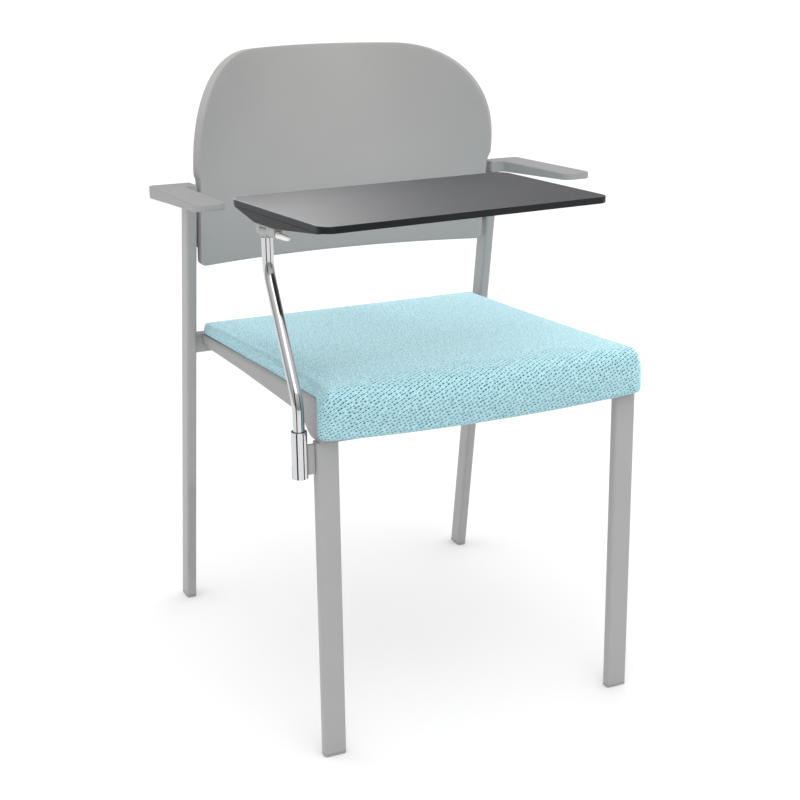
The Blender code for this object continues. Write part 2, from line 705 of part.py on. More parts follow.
def backrest():
    rows = back_rows()
    bm = bmesh.new()
    faces = []
    for depth in (0, BACK_THICK):
        grid = []
        for z, half in rows:
            row = [half * (2 * i / BACK_COLUMNS - 1) for i in range(BACK_COLUMNS + 1)]
            grid.append([bm.verts.new(back_point(x, z, depth)) for x in row])
        for low, high in zip(grid, grid[1:]):
            for i in range(BACK_COLUMNS):
                bm.faces.new((low[i], low[i + 1], high[i + 1], high[i]))
        rim = grid[0] + [row[-1] for row in grid[1:-1]] + grid[-1][::-1] + [row[0] for row in grid[-2:0:-1]]
        faces.append(rim)
    front, rear = faces
    for i in range(len(front)):
        bm.faces.new((front[i - 1], front[i], rear[i], rear[i - 1]))
    back = place("backrest_panel", bm, FRAME_PAINT)
    bm = bmesh.new()
    for sign in (-1, 1):
        for _, frame in back_screw_frames(sign):
            screw_hole(bm, frame, -CUT_OVER, BRACKET_THICK + FIT + BACK_SCREW_BITE + FIT)
    combine(back, helper("backrest_holes", bm), "DIFFERENCE")


def backrest_bracket(side, sign):
    """A tab from the post's inner face that lies along the back's rear."""
    middle = (BACK_BOTTOM + ARM_UNDER) / 2
    sheets = []
    for depth in (BACK_THICK + FIT, BACK_THICK + FIT + BRACKET_THICK):
        rows = []
        for i in range(BRACKET_STEPS + 1):
            z = middle - BRACKET_HEIGHT / 2 + BRACKET_HEIGHT * i / BRACKET_STEPS
            outer = HALF_CLEAR - FIT
            outer -= back_point(outer, z, depth).x - outer
            rows.append([back_point(sign * (outer - BRACKET_REACH * k / BRACKET_STEPS), z, depth)
                         for k in range(BRACKET_STEPS + 1)])
        sheets.append(rows)
    bm = bmesh.new()
    rims = []
    for rows in sheets:
        grid = [[bm.verts.new(point) for point in row] for row in rows]
        for low, high in zip(grid, grid[1:]):
            for i in range(BRACKET_STEPS):
                bm.faces.new((low[i], low[i + 1], high[i + 1], high[i]))
        rims.append(grid[0] + [row[-1] for row in grid[1:-1]] + grid[-1][::-1]
                    + [row[0] for row in grid[-2:0:-1]])
    front, rear = rims
    for i in range(len(front)):
        bm.faces.new((front[i - 1], front[i], rear[i], rear[i - 1]))
    bracket = place("backrest_bracket_" + side, bm, FRAME_PAINT)
    bm = bmesh.new()
    for label, frame in back_screw_frames(sign):
        screw_hole(bm, frame, -CUT_OVER, CUT_OVER)
        screw("back_screw_" + label + "_" + side, frame, BRACKET_THICK + FIT + BACK_SCREW_BITE)
    combine(bracket, helper("backrest_bracket_holes_" + side, bm), "DIFFERENCE")


# Arms

ARM_REAR_Y = post_y(POST_TOP) + POST_DEPTH / 2 + ARM_REAR_COVER
ARM_FRONT_Y = ARM_REAR_Y - ARM_LENGTH
ARM_INNER_X = HALF_CLEAR + ARM_STEP_OUT


def arm_screw_frame(sign):
    """The screw through an arm's rear edge into the post."""
    z = ARM_UNDER + POST_SOCKET / 2
    return facing((sign * POST_X, ARM_REAR_Y - SCREW_HEAD - FIT, z), (0, -1, 0))


def arm_screw_length():
    """From the head's seat through the post's rear wall."""
    return ARM_REAR_COVER + 2 * TUBE_WALL


def arm(side, sign, post):
    neck_y = post_y(ARM_UNDER) - POST_DEPTH / 2 - ARM_NECK_COVER
    small = ARM_EDGE + ARM_SMALL_CORNER

    def outline(inset):
        inner, outer = ARM_INNER_X + inset, ARM_INNER_X + ARM_WIDTH - inset
        side_x, neck = HALF_CLEAR + inset, neck_y + inset
        rear, front = ARM_REAR_Y - inset, ARM_FRONT_Y + inset
        corners = [(side_x, rear, small - inset), (outer, rear, ARM_REAR_CORNER - inset),
                   (outer, front, ARM_FRONT_CORNER - inset), (inner, front, ARM_FRONT_CORNER - inset),
                   (inner, neck, ARM_INNER_CORNER + inset), (side_x, neck, small - inset)]
        return [(sign * x, y) for x, y in filleted(corners)]

    def top(y):
        return ARM_TOP + ARM_SLOPE * (ARM_REAR_Y - y)

    def under(y):
        taper = (ARM_REAR_THICK - ARM_FRONT_THICK) * (ARM_REAR_Y - y) / ARM_LENGTH
        return top(y) - ARM_REAR_THICK + taper

    bm = bmesh.new()
    slab(bm, outline, under, top, ARM_EDGE)
    piece = place("arm_" + side, bm, GREY_PLASTIC)

    pocket = rounded_box(TUBE_SHORT + 2 * FIT, POST_DEPTH + 2 * FIT, TUBE_CORNER + FIT)
    heights = (ARM_UNDER - CUT_OVER, POST_TOP + FIT)
    bm = bmesh.new()
    skin(bm, [level_ring(pocket, (sign * POST_X, post_y(z), z)) for z in heights])
    combine(piece, helper("arm_pocket_" + side, bm), "DIFFERENCE")
    frame = arm_screw_frame(sign)
    bm = bmesh.new()
    turned(bm, [(SCREW_HEAD_RADIUS + FIT, -CUT_OVER), (SCREW_HEAD_RADIUS + FIT, FIT),
                (SCREW_RADIUS + FIT, FIT), (SCREW_RADIUS + FIT, arm_screw_length() + FIT)],
           SCREW_STEPS, frame)
    hole = helper("arm_screw_hole_" + side, bm)
    combine(piece, hole, "DIFFERENCE")
    combine(post, hole, "DIFFERENCE")
    screw("arm_screw_" + side, frame @ Matrix.Translation((0, 0, FIT)), arm_screw_length() - FIT)


# Socket and stem

def ring_at(radius, z):
    return level_ring(circle(radius, ROUND_STEPS), (0, 0, z))


def slot_cutter(parent):
    """The sector that the stop pin sweeps."""
    half_pin = math.asin((STOP_RADIUS + FIT) / STEM_RADIUS)
    start = STOP_REST - SWIVEL_OUT - half_pin
    end = STOP_REST + SWIVEL_IN + half_pin
    inner = arc((0, 0), STEM_RADIUS, start, end, SLOT_STEPS)
    outer = arc((0, 0), SLEEVE_RADIUS + STEM_RADIUS, end, start, SLOT_STEPS)
    bm = bmesh.new()
    skin(bm, [level_ring(inner + outer, (0, 0, z)) for z in (SLOT_BASE, SLOT_BASE + SLOT_HEIGHT)])
    return helper("socket_slot", bm, parent)


def socket(parent):
    """Sleeve, bush and plug that hold the stem, and the plate that joins them to the leg."""
    ends = (SLEEVE_BASE, SLEEVE_TOP)
    bm = bmesh.new()
    hollow(bm, [ring_at(SLEEVE_RADIUS, z) for z in ends], [ring_at(SLEEVE_INNER, z) for z in ends])
    sleeve = place("socket_sleeve", bm, CHROME, parent)
    ends = (SLEEVE_BASE + SOCKET_PLUG + FIT, SLEEVE_TOP - FIT)
    bm = bmesh.new()
    hollow(bm, [ring_at(SLEEVE_INNER - FIT, z) for z in ends], [ring_at(BUSH_INNER, z) for z in ends])
    bush = place("socket_bush", bm, BLACK_PLASTIC, parent)
    slot = slot_cutter(parent)
    combine(sleeve, slot, "DIFFERENCE")
    combine(bush, slot, "DIFFERENCE")
    ends = (SLEEVE_BASE, SLEEVE_BASE + SOCKET_PLUG)
    bm = bmesh.new()
    turned(bm, [(SLEEVE_INNER - FIT, z) for z in ends], ROUND_STEPS)
    place("socket_plug", bm, BLACK_PLASTIC, parent)

    half = PLATE_THICK / 2
    reach = SLEEVE_RADIUS + SLEEVE_STAND_OFF - FIT
    bm = bmesh.new()
    skin(bm, [[(0, -half, z), (reach, -half, z), (reach, half, z), (0, half, z)]
              for z in (PLATE_BASE, PLATE_BASE + PLATE_HEIGHT)])
    plate = place("socket_plate", bm, FRAME_PAINT, parent)
    bm = bmesh.new()
    turned(bm, [(SLEEVE_RADIUS + FIT, PLATE_BASE - CUT_OVER),
                (SLEEVE_RADIUS + FIT, PLATE_BASE + PLATE_HEIGHT + CUT_OVER)], ROUND_STEPS)
    combine(plate, helper("socket_plate_saddle", bm, parent), "DIFFERENCE")


def stem_path():
    """The stem's centre line (y, z): upright in its socket, leaning back, then upright again."""
    foot = SLEEVE_BASE + SOCKET_PLUG + FIT
    corners = [Vector((0, foot)), Vector((0, SLEEVE_TOP + STEM_LOW_RUN)),
               Vector((STEM_OFFSET, STEM_TOP - STEM_TOP_RUN)), Vector((STEM_OFFSET, STEM_TOP))]
    path = [corners[0]]
    for before, here, after in zip(corners, corners[1:], corners[2:]):
        path += rounding(before, here, after, STEM_BEND, BEND_STEPS)
    return path + [corners[-1]]


def stem(parent):
    path = stem_path()
    tubes = []
    for radius in (STEM_RADIUS, STEM_RADIUS - STEM_WALL):
        rings = []
        for i, here in enumerate(path):
            along = (path[min(i + 1, len(path) - 1)] - path[max(i - 1, 0)]).normalized()
            section = circle(radius, ROUND_STEPS)
            rings.append([(a, here.x + b * along.y, here.y - b * along.x) for a, b in section])
        tubes.append(rings)
    bm = bmesh.new()
    hollow(bm, *tubes)
    tube = place("tablet_stem", bm, CHROME, parent)
    outward = (math.cos(STOP_REST), math.sin(STOP_REST), 0)
    frame = facing((0, 0, SLOT_BASE + SLOT_HEIGHT / 2), outward)
    inner = STEM_RADIUS - STEM_WALL - STOP_DEPTH
    bm = bmesh.new()
    turned(bm, [(STOP_RADIUS + FIT, inner - FIT), (STOP_RADIUS + FIT, SLEEVE_RADIUS)], SCREW_STEPS, frame)
    combine(tube, helper("stem_hole", bm, parent), "DIFFERENCE")
    bm = bmesh.new()
    turned(bm, [(STOP_RADIUS, inner), (STOP_RADIUS, SLEEVE_RADIUS - STOP_SINK)], SCREW_STEPS, frame)
    place("stop_pin", bm, ZINC, parent)


# Tablet hinge, in a frame whose Y axis is the hinge axis

def bore(piece, name, parent):
    """The hinge pin's hole through a piece."""
    ends = (KNUCKLE_FRONT_Y - CUT_OVER, KNUCKLE_REAR_Y + CUT_OVER)
    bm = bmesh.new()
    turned(bm, [(PIN_RADIUS + FIT, end) for end in ends], SCREW_STEPS, facing((0, 0, 0), (0, 1, 0)))
    combine(piece, helper(name, bm, parent), "DIFFERENCE")


def stem_head(parent):
    """The middle knuckle, on the stem's top."""
    half = HEAD_LENGTH / 2
    crown = arc((0, 0), KNUCKLE_RADIUS, 0, math.pi, ROUND_STEPS // 2)
    bm = bmesh.new()
    prism_y(bm, crown + [(-KNUCKLE_RADIUS, -HEAD_NECK), (KNUCKLE_RADIUS, -HEAD_NECK)], -half, half)
    head = place("stem_head", bm, FRAME_PAINT, parent)
    bm = bmesh.new()
    radius = STEM_RADIUS - STEM_WALL - FIT
    turned(bm, [(radius, -HEAD_NECK - HEAD_SPIGOT), (radius, -HEAD_NECK + FIT)], ROUND_STEPS)
    combine(head, helper("stem_head_spigot", bm, parent), "UNION")
    bore(head, "stem_head_bore", parent)


def hinge_pin(parent):
    bm = bmesh.new()
    turned(bm, [(PIN_RADIUS, KNUCKLE_FRONT_Y + PIN_SHORT), (PIN_RADIUS, KNUCKLE_REAR_Y + FIT),
                (PIN_HEAD_RADIUS, KNUCKLE_REAR_Y + FIT), (PIN_HEAD_RADIUS, KNUCKLE_REAR_Y + FIT + PIN_HEAD)],
           SCREW_STEPS, facing((0, 0, 0), (0, 1, 0)))
    place("hinge_pin", bm, ZINC, parent)


def leaf_screw_frames():
    """Labels and frames of the leaf's screws, pointing up."""
    middle = (KNUCKLE_FRONT_Y + KNUCKLE_REAR_Y) / 2
    for label, along in (("front", -LEAF_SCREW_SPREAD / 2), ("rear", LEAF_SCREW_SPREAD / 2)):
        x = LEAF_SCREW_X - TABLET_SIDE
        yield label, facing((x, middle + along, KNUCKLE_RADIUS + LEAF_LIFT), (0, 0, 1))


def hinge_leaf(parent):
    """Plate under the tablet's support, with the two outer knuckles."""
    low = KNUCKLE_RADIUS + LEAF_LIFT
    high = low + LEAF_THICK
    left, right = -KNUCKLE_RADIUS, LEAF_WIDTH - KNUCKLE_RADIUS
    plate = [(left, low), (right, low), (right, high), (left, high)]
    bm = bmesh.new()
    prism_y(bm, plate, KNUCKLE_FRONT_Y, KNUCKLE_REAR_Y)
    leaf = place("hinge_leaf", bm, FRAME_PAINT, parent)
    cup = arc((0, 0), KNUCKLE_RADIUS, math.pi, math.tau, ROUND_STEPS // 2)
    inside = low + LEAF_THICK / 2
    web = cup + [(KNUCKLE_RADIUS, inside), (-KNUCKLE_RADIUS, inside)]
    bm = bmesh.new()
    prism_y(bm, web, KNUCKLE_FRONT_Y, KNUCKLE_FRONT_Y + KNUCKLE_FRONT)
    prism_y(bm, web, KNUCKLE_REAR_Y - KNUCKLE_REAR, KNUCKLE_REAR_Y)
    combine(leaf, helper("hinge_leaf_knuckles", bm, parent), "UNION")
    bore(leaf, "hinge_leaf_bore", parent)
    bm = bmesh.new()
    for label, frame in leaf_screw_frames():
        screw_hole(bm, frame, -CUT_OVER, CUT_OVER)
        screw("leaf_screw_" + label, frame, LEAF_THICK + FIT + LEAF_SCREW_BITE, parent)
    combine(leaf, helper("hinge_leaf_holes", bm, parent), "DIFFERENCE")


def tablet_screw_frames():
    """Labels and frames of the screws that hold the board, seated in the support and pointing up."""
    left = SUPPORT_SIDE_INSET - TABLET_SIDE
    columns = (("outer", left + TABLET_SCREW_SIDE), ("inner", left + SUPPORT_FLAT_WIDTH - TABLET_SCREW_SIDE))
    for column, x in columns:
        for row, y in (("rear", TABLET_SCREW_REAR), ("front", -TABLET_SCREW_FRONT)):
            yield row + "_" + column, facing((x, y, BOARD_UNDER - TABLET_SCREW_SINK), (0, 0, 1))


def tablet_support(parent):
    """Housing under the board's edge: deepest at the hinge, tapering to both ends."""
    left = SUPPORT_SIDE_INSET - TABLET_SIDE
    front, rear = TABLET_REAR - TABLET_DEPTH + SUPPORT_INSET, TABLET_REAR - SUPPORT_INSET
    stations = [(front, SUPPORT_LIP), (-SUPPORT_FLAT_FRONT, SUPPORT_DEPTH),
                (SUPPORT_FLAT_REAR, SUPPORT_DEPTH), (rear, SUPPORT_LIP)]
    rings = []
    for y, depth in stations:
        corners = [Vector((left + SUPPORT_WIDTH, SUPPORT_TOP)),
                   Vector((left + SUPPORT_FLAT_WIDTH, SUPPORT_TOP - depth)),
                   Vector((left, SUPPORT_TOP - depth)), Vector((left, SUPPORT_TOP))]
        section = [corners[0]]
        for before, here, after in zip(corners, corners[1:], corners[2:]):
            section += rounding(before, here, after, SUPPORT_EDGE, EDGE_STEPS)
        rings.append([(x, y, z) for x, z in section + [corners[-1]]])
    bm = bmesh.new()
    skin(bm, rings)
    support = place("tablet_support", bm, BLACK_PLASTIC, parent)
    bm = bmesh.new()
    for _, frame in leaf_screw_frames():
        screw_hole(bm, frame, 0, LEAF_THICK + FIT + LEAF_SCREW_BITE + FIT)
    for _, frame in tablet_screw_frames():
        turned(bm, [(SCREW_HEAD_RADIUS + FIT, -CUT_OVER), (SCREW_HEAD_RADIUS + FIT, 0),
                    (SCREW_RADIUS + FIT, 0), (SCREW_RADIUS + FIT, CUT_OVER)], SCREW_STEPS, frame)
    combine(support, helper("tablet_support_holes", bm, parent), "DIFFERENCE")


def tablet_board(parent):
    middle_x, middle_y = TABLET_WIDTH / 2 - TABLET_SIDE, TABLET_REAR - TABLET_DEPTH / 2

    def outline(inset):
        box = rounded_box(TABLET_WIDTH - 2 * inset, TABLET_DEPTH - 2 * inset, BOARD_CORNER - inset)
        return [(middle_x + x, middle_y + y) for x, y in box]

    bm = bmesh.new()
    slab(bm, outline, lambda y: BOARD_UNDER, lambda y: BOARD_UNDER + BOARD_THICK, BOARD_EDGE)
    board = place("tablet_board", bm, TABLET_FINISH, parent)
    bm = bmesh.new()
    for label, frame in tablet_screw_frames():
        screw_hole(bm, frame, 0, TABLET_SCREW_SINK + TABLET_SCREW_BITE + FIT)
        screw("tablet_screw_" + label, frame, TABLET_SCREW_SINK + TABLET_SCREW_BITE, parent)
    combine(board, helper("tablet_board_holes", bm, parent), "DIFFERENCE")


def release_knob(parent):
    """Pull knob on the hinge axis, with its shank in the front knuckle."""
    start = -KNUCKLE_FRONT_Y + FIT
    neck = start + KNOB_FLANGE
    body = neck + KNOB_NECK
    tip = body + KNOB_LENGTH
    profile = [(PIN_RADIUS, start - FIT - KNOB_SHANK), (PIN_RADIUS, start), (KNOB_FLANGE_RADIUS, start),
               (KNOB_FLANGE_RADIUS, neck), (KNOB_NECK_RADIUS, neck), (KNOB_NECK_RADIUS, body),
               (KNOB_RADIUS, body), (KNOB_RADIUS, body + KNOB_LENGTH / 2),
               (KNOB_TIP_RADIUS, tip - KNOB_TIP_RADIUS / 2), (KNOB_TIP_RADIUS / 2, tip)]
    bm = bmesh.new()
    turned(bm, profile, SCREW_STEPS, facing((0, 0, 0), (0, -1, 0)))
    place("release_knob", bm, WHITE_PLASTIC, parent)


# Assembly

for side, sign in (("left", -1), ("right", 1)):
    front_leg(side, sign)
    side_rail(side, sign)
    arm(side, sign, rear_post(side, sign))
    backrest_bracket(side, sign)

side_rail_top = rail_under(SIDE_RAIL_FRONT_Y) + SIDE_RAIL_HEIGHT
cross_rail("front_cross_rail", FRONT_RAIL_HALF, FRONT_LEG_Y, LEG_HEIGHT + FIT, side_rail_top)
cross_rail("rear_cross_rail", HALF_CLEAR - FIT, REAR_RAIL_Y,
           REAR_RAIL_Z - TUBE_LONG / 2, REAR_RAIL_Z + TUBE_LONG / 2)
seat_pan()
seat_cushion()
backrest()

socket_axis = pivot("socket_axis", (STEM_X, FRONT_LEG_Y, 0))
socket(socket_axis)
stem_pivot = pivot("stem_pivot", (0, 0, 0), parent=socket_axis)
stem(stem_pivot)
hinge_seat = pivot("hinge_seat", (0, STEM_OFFSET, HINGE_Z), (0, 0, TABLET_TURN), stem_pivot)
stem_head(hinge_seat)
hinge_pin(hinge_seat)
tablet_pivot = pivot("tablet_pivot", (0, 0, 0), (0, TABLET_DROOP, 0), hinge_seat)
hinge_leaf(tablet_pivot)
tablet_support(tablet_pivot)
tablet_board(tablet_pivot)
knob_pivot = pivot("knob_pivot", (0, 0, 0), parent=tablet_pivot)
release_knob(knob_pivot)
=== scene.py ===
import json
import math

import bmesh
import bpy
import numpy as np
from mathutils import Matrix, Vector
from mathutils.kdtree import KDTree

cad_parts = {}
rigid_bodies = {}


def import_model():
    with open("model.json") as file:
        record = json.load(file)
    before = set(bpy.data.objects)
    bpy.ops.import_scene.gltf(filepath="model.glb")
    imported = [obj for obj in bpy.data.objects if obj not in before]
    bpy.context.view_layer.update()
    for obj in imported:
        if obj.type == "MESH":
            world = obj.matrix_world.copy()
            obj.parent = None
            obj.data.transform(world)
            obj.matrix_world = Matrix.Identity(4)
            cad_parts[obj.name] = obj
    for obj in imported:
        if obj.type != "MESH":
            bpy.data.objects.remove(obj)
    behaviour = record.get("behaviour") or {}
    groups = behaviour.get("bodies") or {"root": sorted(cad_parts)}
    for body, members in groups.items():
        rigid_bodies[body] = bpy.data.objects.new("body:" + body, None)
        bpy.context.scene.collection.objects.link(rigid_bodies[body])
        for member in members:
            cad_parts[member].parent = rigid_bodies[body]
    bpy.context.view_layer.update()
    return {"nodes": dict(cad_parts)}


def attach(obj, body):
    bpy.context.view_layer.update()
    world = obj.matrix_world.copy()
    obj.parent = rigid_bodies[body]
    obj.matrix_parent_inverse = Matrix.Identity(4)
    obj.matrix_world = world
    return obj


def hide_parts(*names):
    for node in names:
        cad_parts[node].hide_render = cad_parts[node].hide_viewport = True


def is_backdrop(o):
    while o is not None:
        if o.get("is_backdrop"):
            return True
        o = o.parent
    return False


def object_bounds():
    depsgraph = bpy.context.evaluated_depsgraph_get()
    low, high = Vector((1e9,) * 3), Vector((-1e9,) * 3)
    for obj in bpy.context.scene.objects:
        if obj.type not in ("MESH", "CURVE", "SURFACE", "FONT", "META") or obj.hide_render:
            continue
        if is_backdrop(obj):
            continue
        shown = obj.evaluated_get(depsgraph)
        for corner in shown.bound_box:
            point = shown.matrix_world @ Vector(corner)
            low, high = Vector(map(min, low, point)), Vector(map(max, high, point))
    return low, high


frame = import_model()
nodes = frame["nodes"]
mm = 0.001
print("frame loaded,", len(nodes), "solids")

# sizes that several pieces share, in metres, the same as the solids' own
chair = dict(
    frontLegY=-0.2577, rearFootY=0.2989, postLean=0.1758, halfClear=0.2313,
    tubeShort=0.015, tubeLong=0.030, tubeCorner=0.004,
    legX=0.212, legTop=0.430, footTop=0.0043, panHalf=0.2230,
)
weld = dict(doubles=1e-6, slivers=1e-7)   # points and edges closer than this are merged


# sRGB hex code to linear colour
def linear(code):
    channels = np.array([int(code[i:i + 2], 16) for i in (1, 3, 5)]) / 255
    low, high = channels / 12.92, ((channels + 0.055) / 1.055) ** 2.4
    return (*np.where(channels <= 0.04045, low, high).tolist(), 1.0)


# one node with its settings, fixed inputs and links
def addNode(tree, kind, values=None, links=None, **settings):
    node = tree.nodes.new(kind)
    for name, value in settings.items():
        setattr(node, name, value)
    for socket, value in (values or {}).items():
        node.inputs[socket].default_value = value
    for socket, source in (links or {}).items():
        tree.links.new(source, node.inputs[socket])
    return node


def newMaterial(name, values):
    material = bpy.data.materials.new(name)
    material.use_nodes = True
    tree = material.node_tree
    shader = tree.nodes["Principled BSDF"]
    for socket, value in values.items():
        shader.inputs[socket].default_value = value
    return material, tree, shader


def newObject(name, data):
    made = bpy.data.objects.new(name, data)
    bpy.context.scene.collection.objects.link(made)
    return made


# a coating or moulding: two tones that drift over patchSize, roughness that drifts with them,
# and a relief of grainSize; a colour Mix node takes its tones at 6 and 7 and gives them at 2
def grainedFinish(name, tones, roughness, grainSize, grainDepth, patchSize, values):
    material, tree, shader = newMaterial(name, values)
    place = addNode(tree, "ShaderNodeTexCoord").outputs["Object"]
    patch = addNode(tree, "ShaderNodeTexNoise", {"Scale": 1 / patchSize, "Detail": 3.0}, {"Vector": place})
    tone = addNode(tree, "ShaderNodeMix", {6: linear(tones[0]), 7: linear(tones[1])},
                   {0: patch.outputs["Fac"]}, data_type="RGBA")
    tree.links.new(tone.outputs[2], shader.inputs["Base Color"])
    rough = addNode(tree, "ShaderNodeMapRange", {"To Min": roughness[0], "To Max": roughness[1]},
                    {"Value": patch.outputs["Fac"]})
    tree.links.new(rough.outputs["Result"], shader.inputs["Roughness"])
    grain = addNode(tree, "ShaderNodeTexNoise", {"Scale": 1 / grainSize, "Detail": 2.0}, {"Vector": place})
    relief = addNode(tree, "ShaderNodeBump", {"Strength": 0.25, "Distance": grainDepth},
                     {"Height": grain.outputs["Fac"]})
    tree.links.new(relief.outputs["Normal"], shader.inputs["Normal"])
    return material


# epoxy powder coat on steel tube: satin silver grey, faint orange peel of 1.5 mm from crest to crest
powderCoat = grainedFinish(
    "powderCoat", ("#9b9b9b", "#a1a1a1"), roughness=(0.36, 0.44),
    grainSize=1.5 * mm, grainDepth=0.05 * mm, patchSize=60 * mm, values={"IOR": 1.5})
# lacquered back shell: the same grey, smoother, with a longer orange peel
shellLacquer = grainedFinish(
    "shellLacquer", ("#a19f9e", "#a7a5a4"), roughness=(0.38, 0.46),
    grainSize=2.5 * mm, grainDepth=0.04 * mm, patchSize=90 * mm, values={"IOR": 1.5})
# moulded polypropylene: spark-eroded grain of about 0.6 mm, matter than the paint
greyPolypropylene = grainedFinish(
    "greyPolypropylene", ("#939393", "#999999"), roughness=(0.46, 0.56),
    grainSize=0.6 * mm, grainDepth=0.06 * mm, patchSize=45 * mm, values={"IOR": 1.49})
# black ABS: fine grain, soft shine
blackAbs = grainedFinish(
    "blackAbs", ("#161719", "#1d1e20"), roughness=(0.38, 0.46),
    grainSize=0.7 * mm, grainDepth=0.05 * mm, patchSize=30 * mm,
    values={"IOR": 1.5, "Specular IOR Level": 0.35})
# compact laminate: dark grey, pearl-textured pressing of about 0.9 mm, satin
greyLaminate = grainedFinish(
    "greyLaminate", ("#101217", "#15171c"), roughness=(0.40, 0.46),
    grainSize=0.9 * mm, grainDepth=0.02 * mm, patchSize=70 * mm,
    values={"IOR": 1.5, "Specular IOR Level": 0.25})
# white nylon: smooth moulding
whiteNylon = grainedFinish(
    "whiteNylon", ("#e9e8e4", "#efeeea"), roughness=(0.30, 0.38),
    grainSize=0.8 * mm, grainDepth=0.03 * mm, patchSize=12 * mm, values={"IOR": 1.53})
# bright zinc plate on small steel parts
zincPlate = grainedFinish(
    "zincPlate", ("#b5b8ba", "#c2c4c6"), roughness=(0.26, 0.40),
    grainSize=0.5 * mm, grainDepth=0.03 * mm, patchSize=4 * mm, values={"Metallic": 1.0})
# chrome plate on drawn tube: a mirror with faint polishing haze
chromePlate = grainedFinish(
    "chromePlate", ("#c6c7c9", "#cfd0d2"), roughness=(0.05, 0.10),
    grainSize=3.0 * mm, grainDepth=0.004 * mm, patchSize=25 * mm, values={"Metallic": 1.0})
print("hard finishes made")


# rows x columns of grid points to quads, closed across the columns
def gridFaces(rows, columns):
    i, j = np.meshgrid(np.arange(rows - 1), np.arange(columns), indexing="ij")
    k = (j + 1) % columns
    quads = [i * columns + j, i * columns + k, (i + 1) * columns + k, (i + 1) * columns + j]
    return np.stack(quads, -1).reshape(-1, 4)


# one flat face over the first ring and one over the last
def endFaces(rows, columns):
    ring = np.arange(columns)
    return [ring[::-1].tolist(), (ring + (rows - 1) * columns).tolist()]


# puts points and faces into a named piece that rides on a body and stands for solids
def addPiece(name, points, faces, material, body, stoodFor, sharpAngle=40):
    mesh = bpy.data.meshes.new(name)
    mesh.from_pydata(np.asarray(points).reshape(-1, 3).tolist(), [], [list(face) for face in faces])
    solid = bmesh.new()
    solid.from_mesh(mesh)
    bmesh.ops.remove_doubles(solid, verts=solid.verts, dist=weld["doubles"])
    bmesh.ops.dissolve_degenerate(solid, edges=solid.edges, dist=weld["slivers"])
    bmesh.ops.recalc_face_normals(solid, faces=solid.faces)
    solid.to_mesh(mesh)
    solid.free()
    mesh.materials.append(material)
    mesh.shade_smooth()
    mesh.set_sharp_from_angle(angle=math.radians(sharpAngle))
    piece = newObject(name, mesh)
    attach(piece, body)
    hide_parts(*stoodFor)
    return piece


# rings of points joined into a closed skin
def ringsPiece(name, rings, material, body, stoodFor):
    rows, columns = rings.shape[:2]
    faces = gridFaces(rows, columns).tolist() + endFaces(rows, columns)
    piece = addPiece(name, rings, faces, material, body, stoodFor)
    weighted = piece.modifiers.new("weightedNormals", "WEIGHTED_NORMAL")
    weighted.keep_sharp = True
    return piece


# closed outline through corners (x, y, radius): each corner becomes an arc about the point
# where its sides' offsets meet
def roundCorners(corners, steps):
    corners = np.asarray(corners, float)
    here, radius = corners[:, :2], corners[:, 2:]
    back = np.roll(here, 1, 0) - here
    ahead = np.roll(here, -1, 0) - here
    back /= np.linalg.norm(back, axis=1, keepdims=True)
    ahead /= np.linalg.norm(ahead, axis=1, keepdims=True)
    half = np.arccos(np.clip((back * ahead).sum(1, keepdims=True), -1, 1)) / 2
    middle = (back + ahead) / np.linalg.norm(back + ahead, axis=1, keepdims=True)
    centre = here + middle * radius / np.sin(half)
    first = here + back * radius / np.tan(half) - centre
    last = here + ahead * radius / np.tan(half) - centre
    turn = np.arctan2(first[:, 0] * last[:, 1] - first[:, 1] * last[:, 0], (first * last).sum(1))
    angle = turn[:, None] * np.linspace(0, 1, steps + 1)
    x = centre[:, :1] + first[:, :1] * np.cos(angle) - first[:, 1:] * np.sin(angle)
    y = centre[:, 1:] + first[:, :1] * np.sin(angle) + first[:, 1:] * np.cos(angle)
    return np.stack([x, y], -1).reshape(-1, 2)


# a plate with rounded rims: rings at insets e(1 - cos a) and depths e(1 - sin a) round the
# quarter arcs of both rims
def slabRings(outline, low, high, edge, steps):
    angle = np.linspace(0, math.pi / 2, steps + 1)
    shapes = np.stack([outline(edge * (1 - math.cos(a))) for a in angle])
    sunk = (edge * (1 - np.sin(angle)))[:, None]
    under = np.concatenate([shapes, (low(shapes[..., 1]) + sunk)[..., None]], -1)
    over = np.concatenate([shapes, (high(shapes[..., 1]) - sunk)[..., None]], -1)
    return np.concatenate([under[::-1], over])


def boxOutline(width, depth, corner, steps=8):
    x, y = width / 2, depth / 2
    return roundCorners([(x, -y, corner), (x, y, corner), (-x, y, corner), (-x, -y, corner)], steps)


# an outline's points at height z, which may differ from point to point
def atHeight(outline, z):
    return np.column_stack([outline, np.broadcast_to(z, len(outline))])


# arms: L-shaped plates that thin towards the front
armSpec = dict(
    rise=0.676, slope=0.046494, rearThick=0.018, frontThick=0.0095, length=0.2285, width=0.0425,
    stepOut=0.0185, rearCover=0.004, neckCover=0.003, frontCorner=0.013, rearCorner=0.008,
    innerCorner=0.008, smallCorner=0.0025, edge=0.002, pocket=0.010, postGap=0.0003,
    cornerSteps=8, edgeSteps=5,
)
postDepth = chair["tubeLong"] * math.hypot(1, chair["postLean"])


def postY(z):
    return chair["rearFootY"] - chair["postLean"] * z


armUnder = armSpec["rise"] - armSpec["rearThick"]
armRearY = postY(armUnder + armSpec["pocket"]) + postDepth / 2 + armSpec["rearCover"]


def armTop(y):
    return armSpec["rise"] + armSpec["slope"] * (armRearY - y)


def armBottom(y):
    taper = (armSpec["rearThick"] - armSpec["frontThick"]) / armSpec["length"]
    return armTop(y) - armSpec["rearThick"] + taper * (armRearY - y)


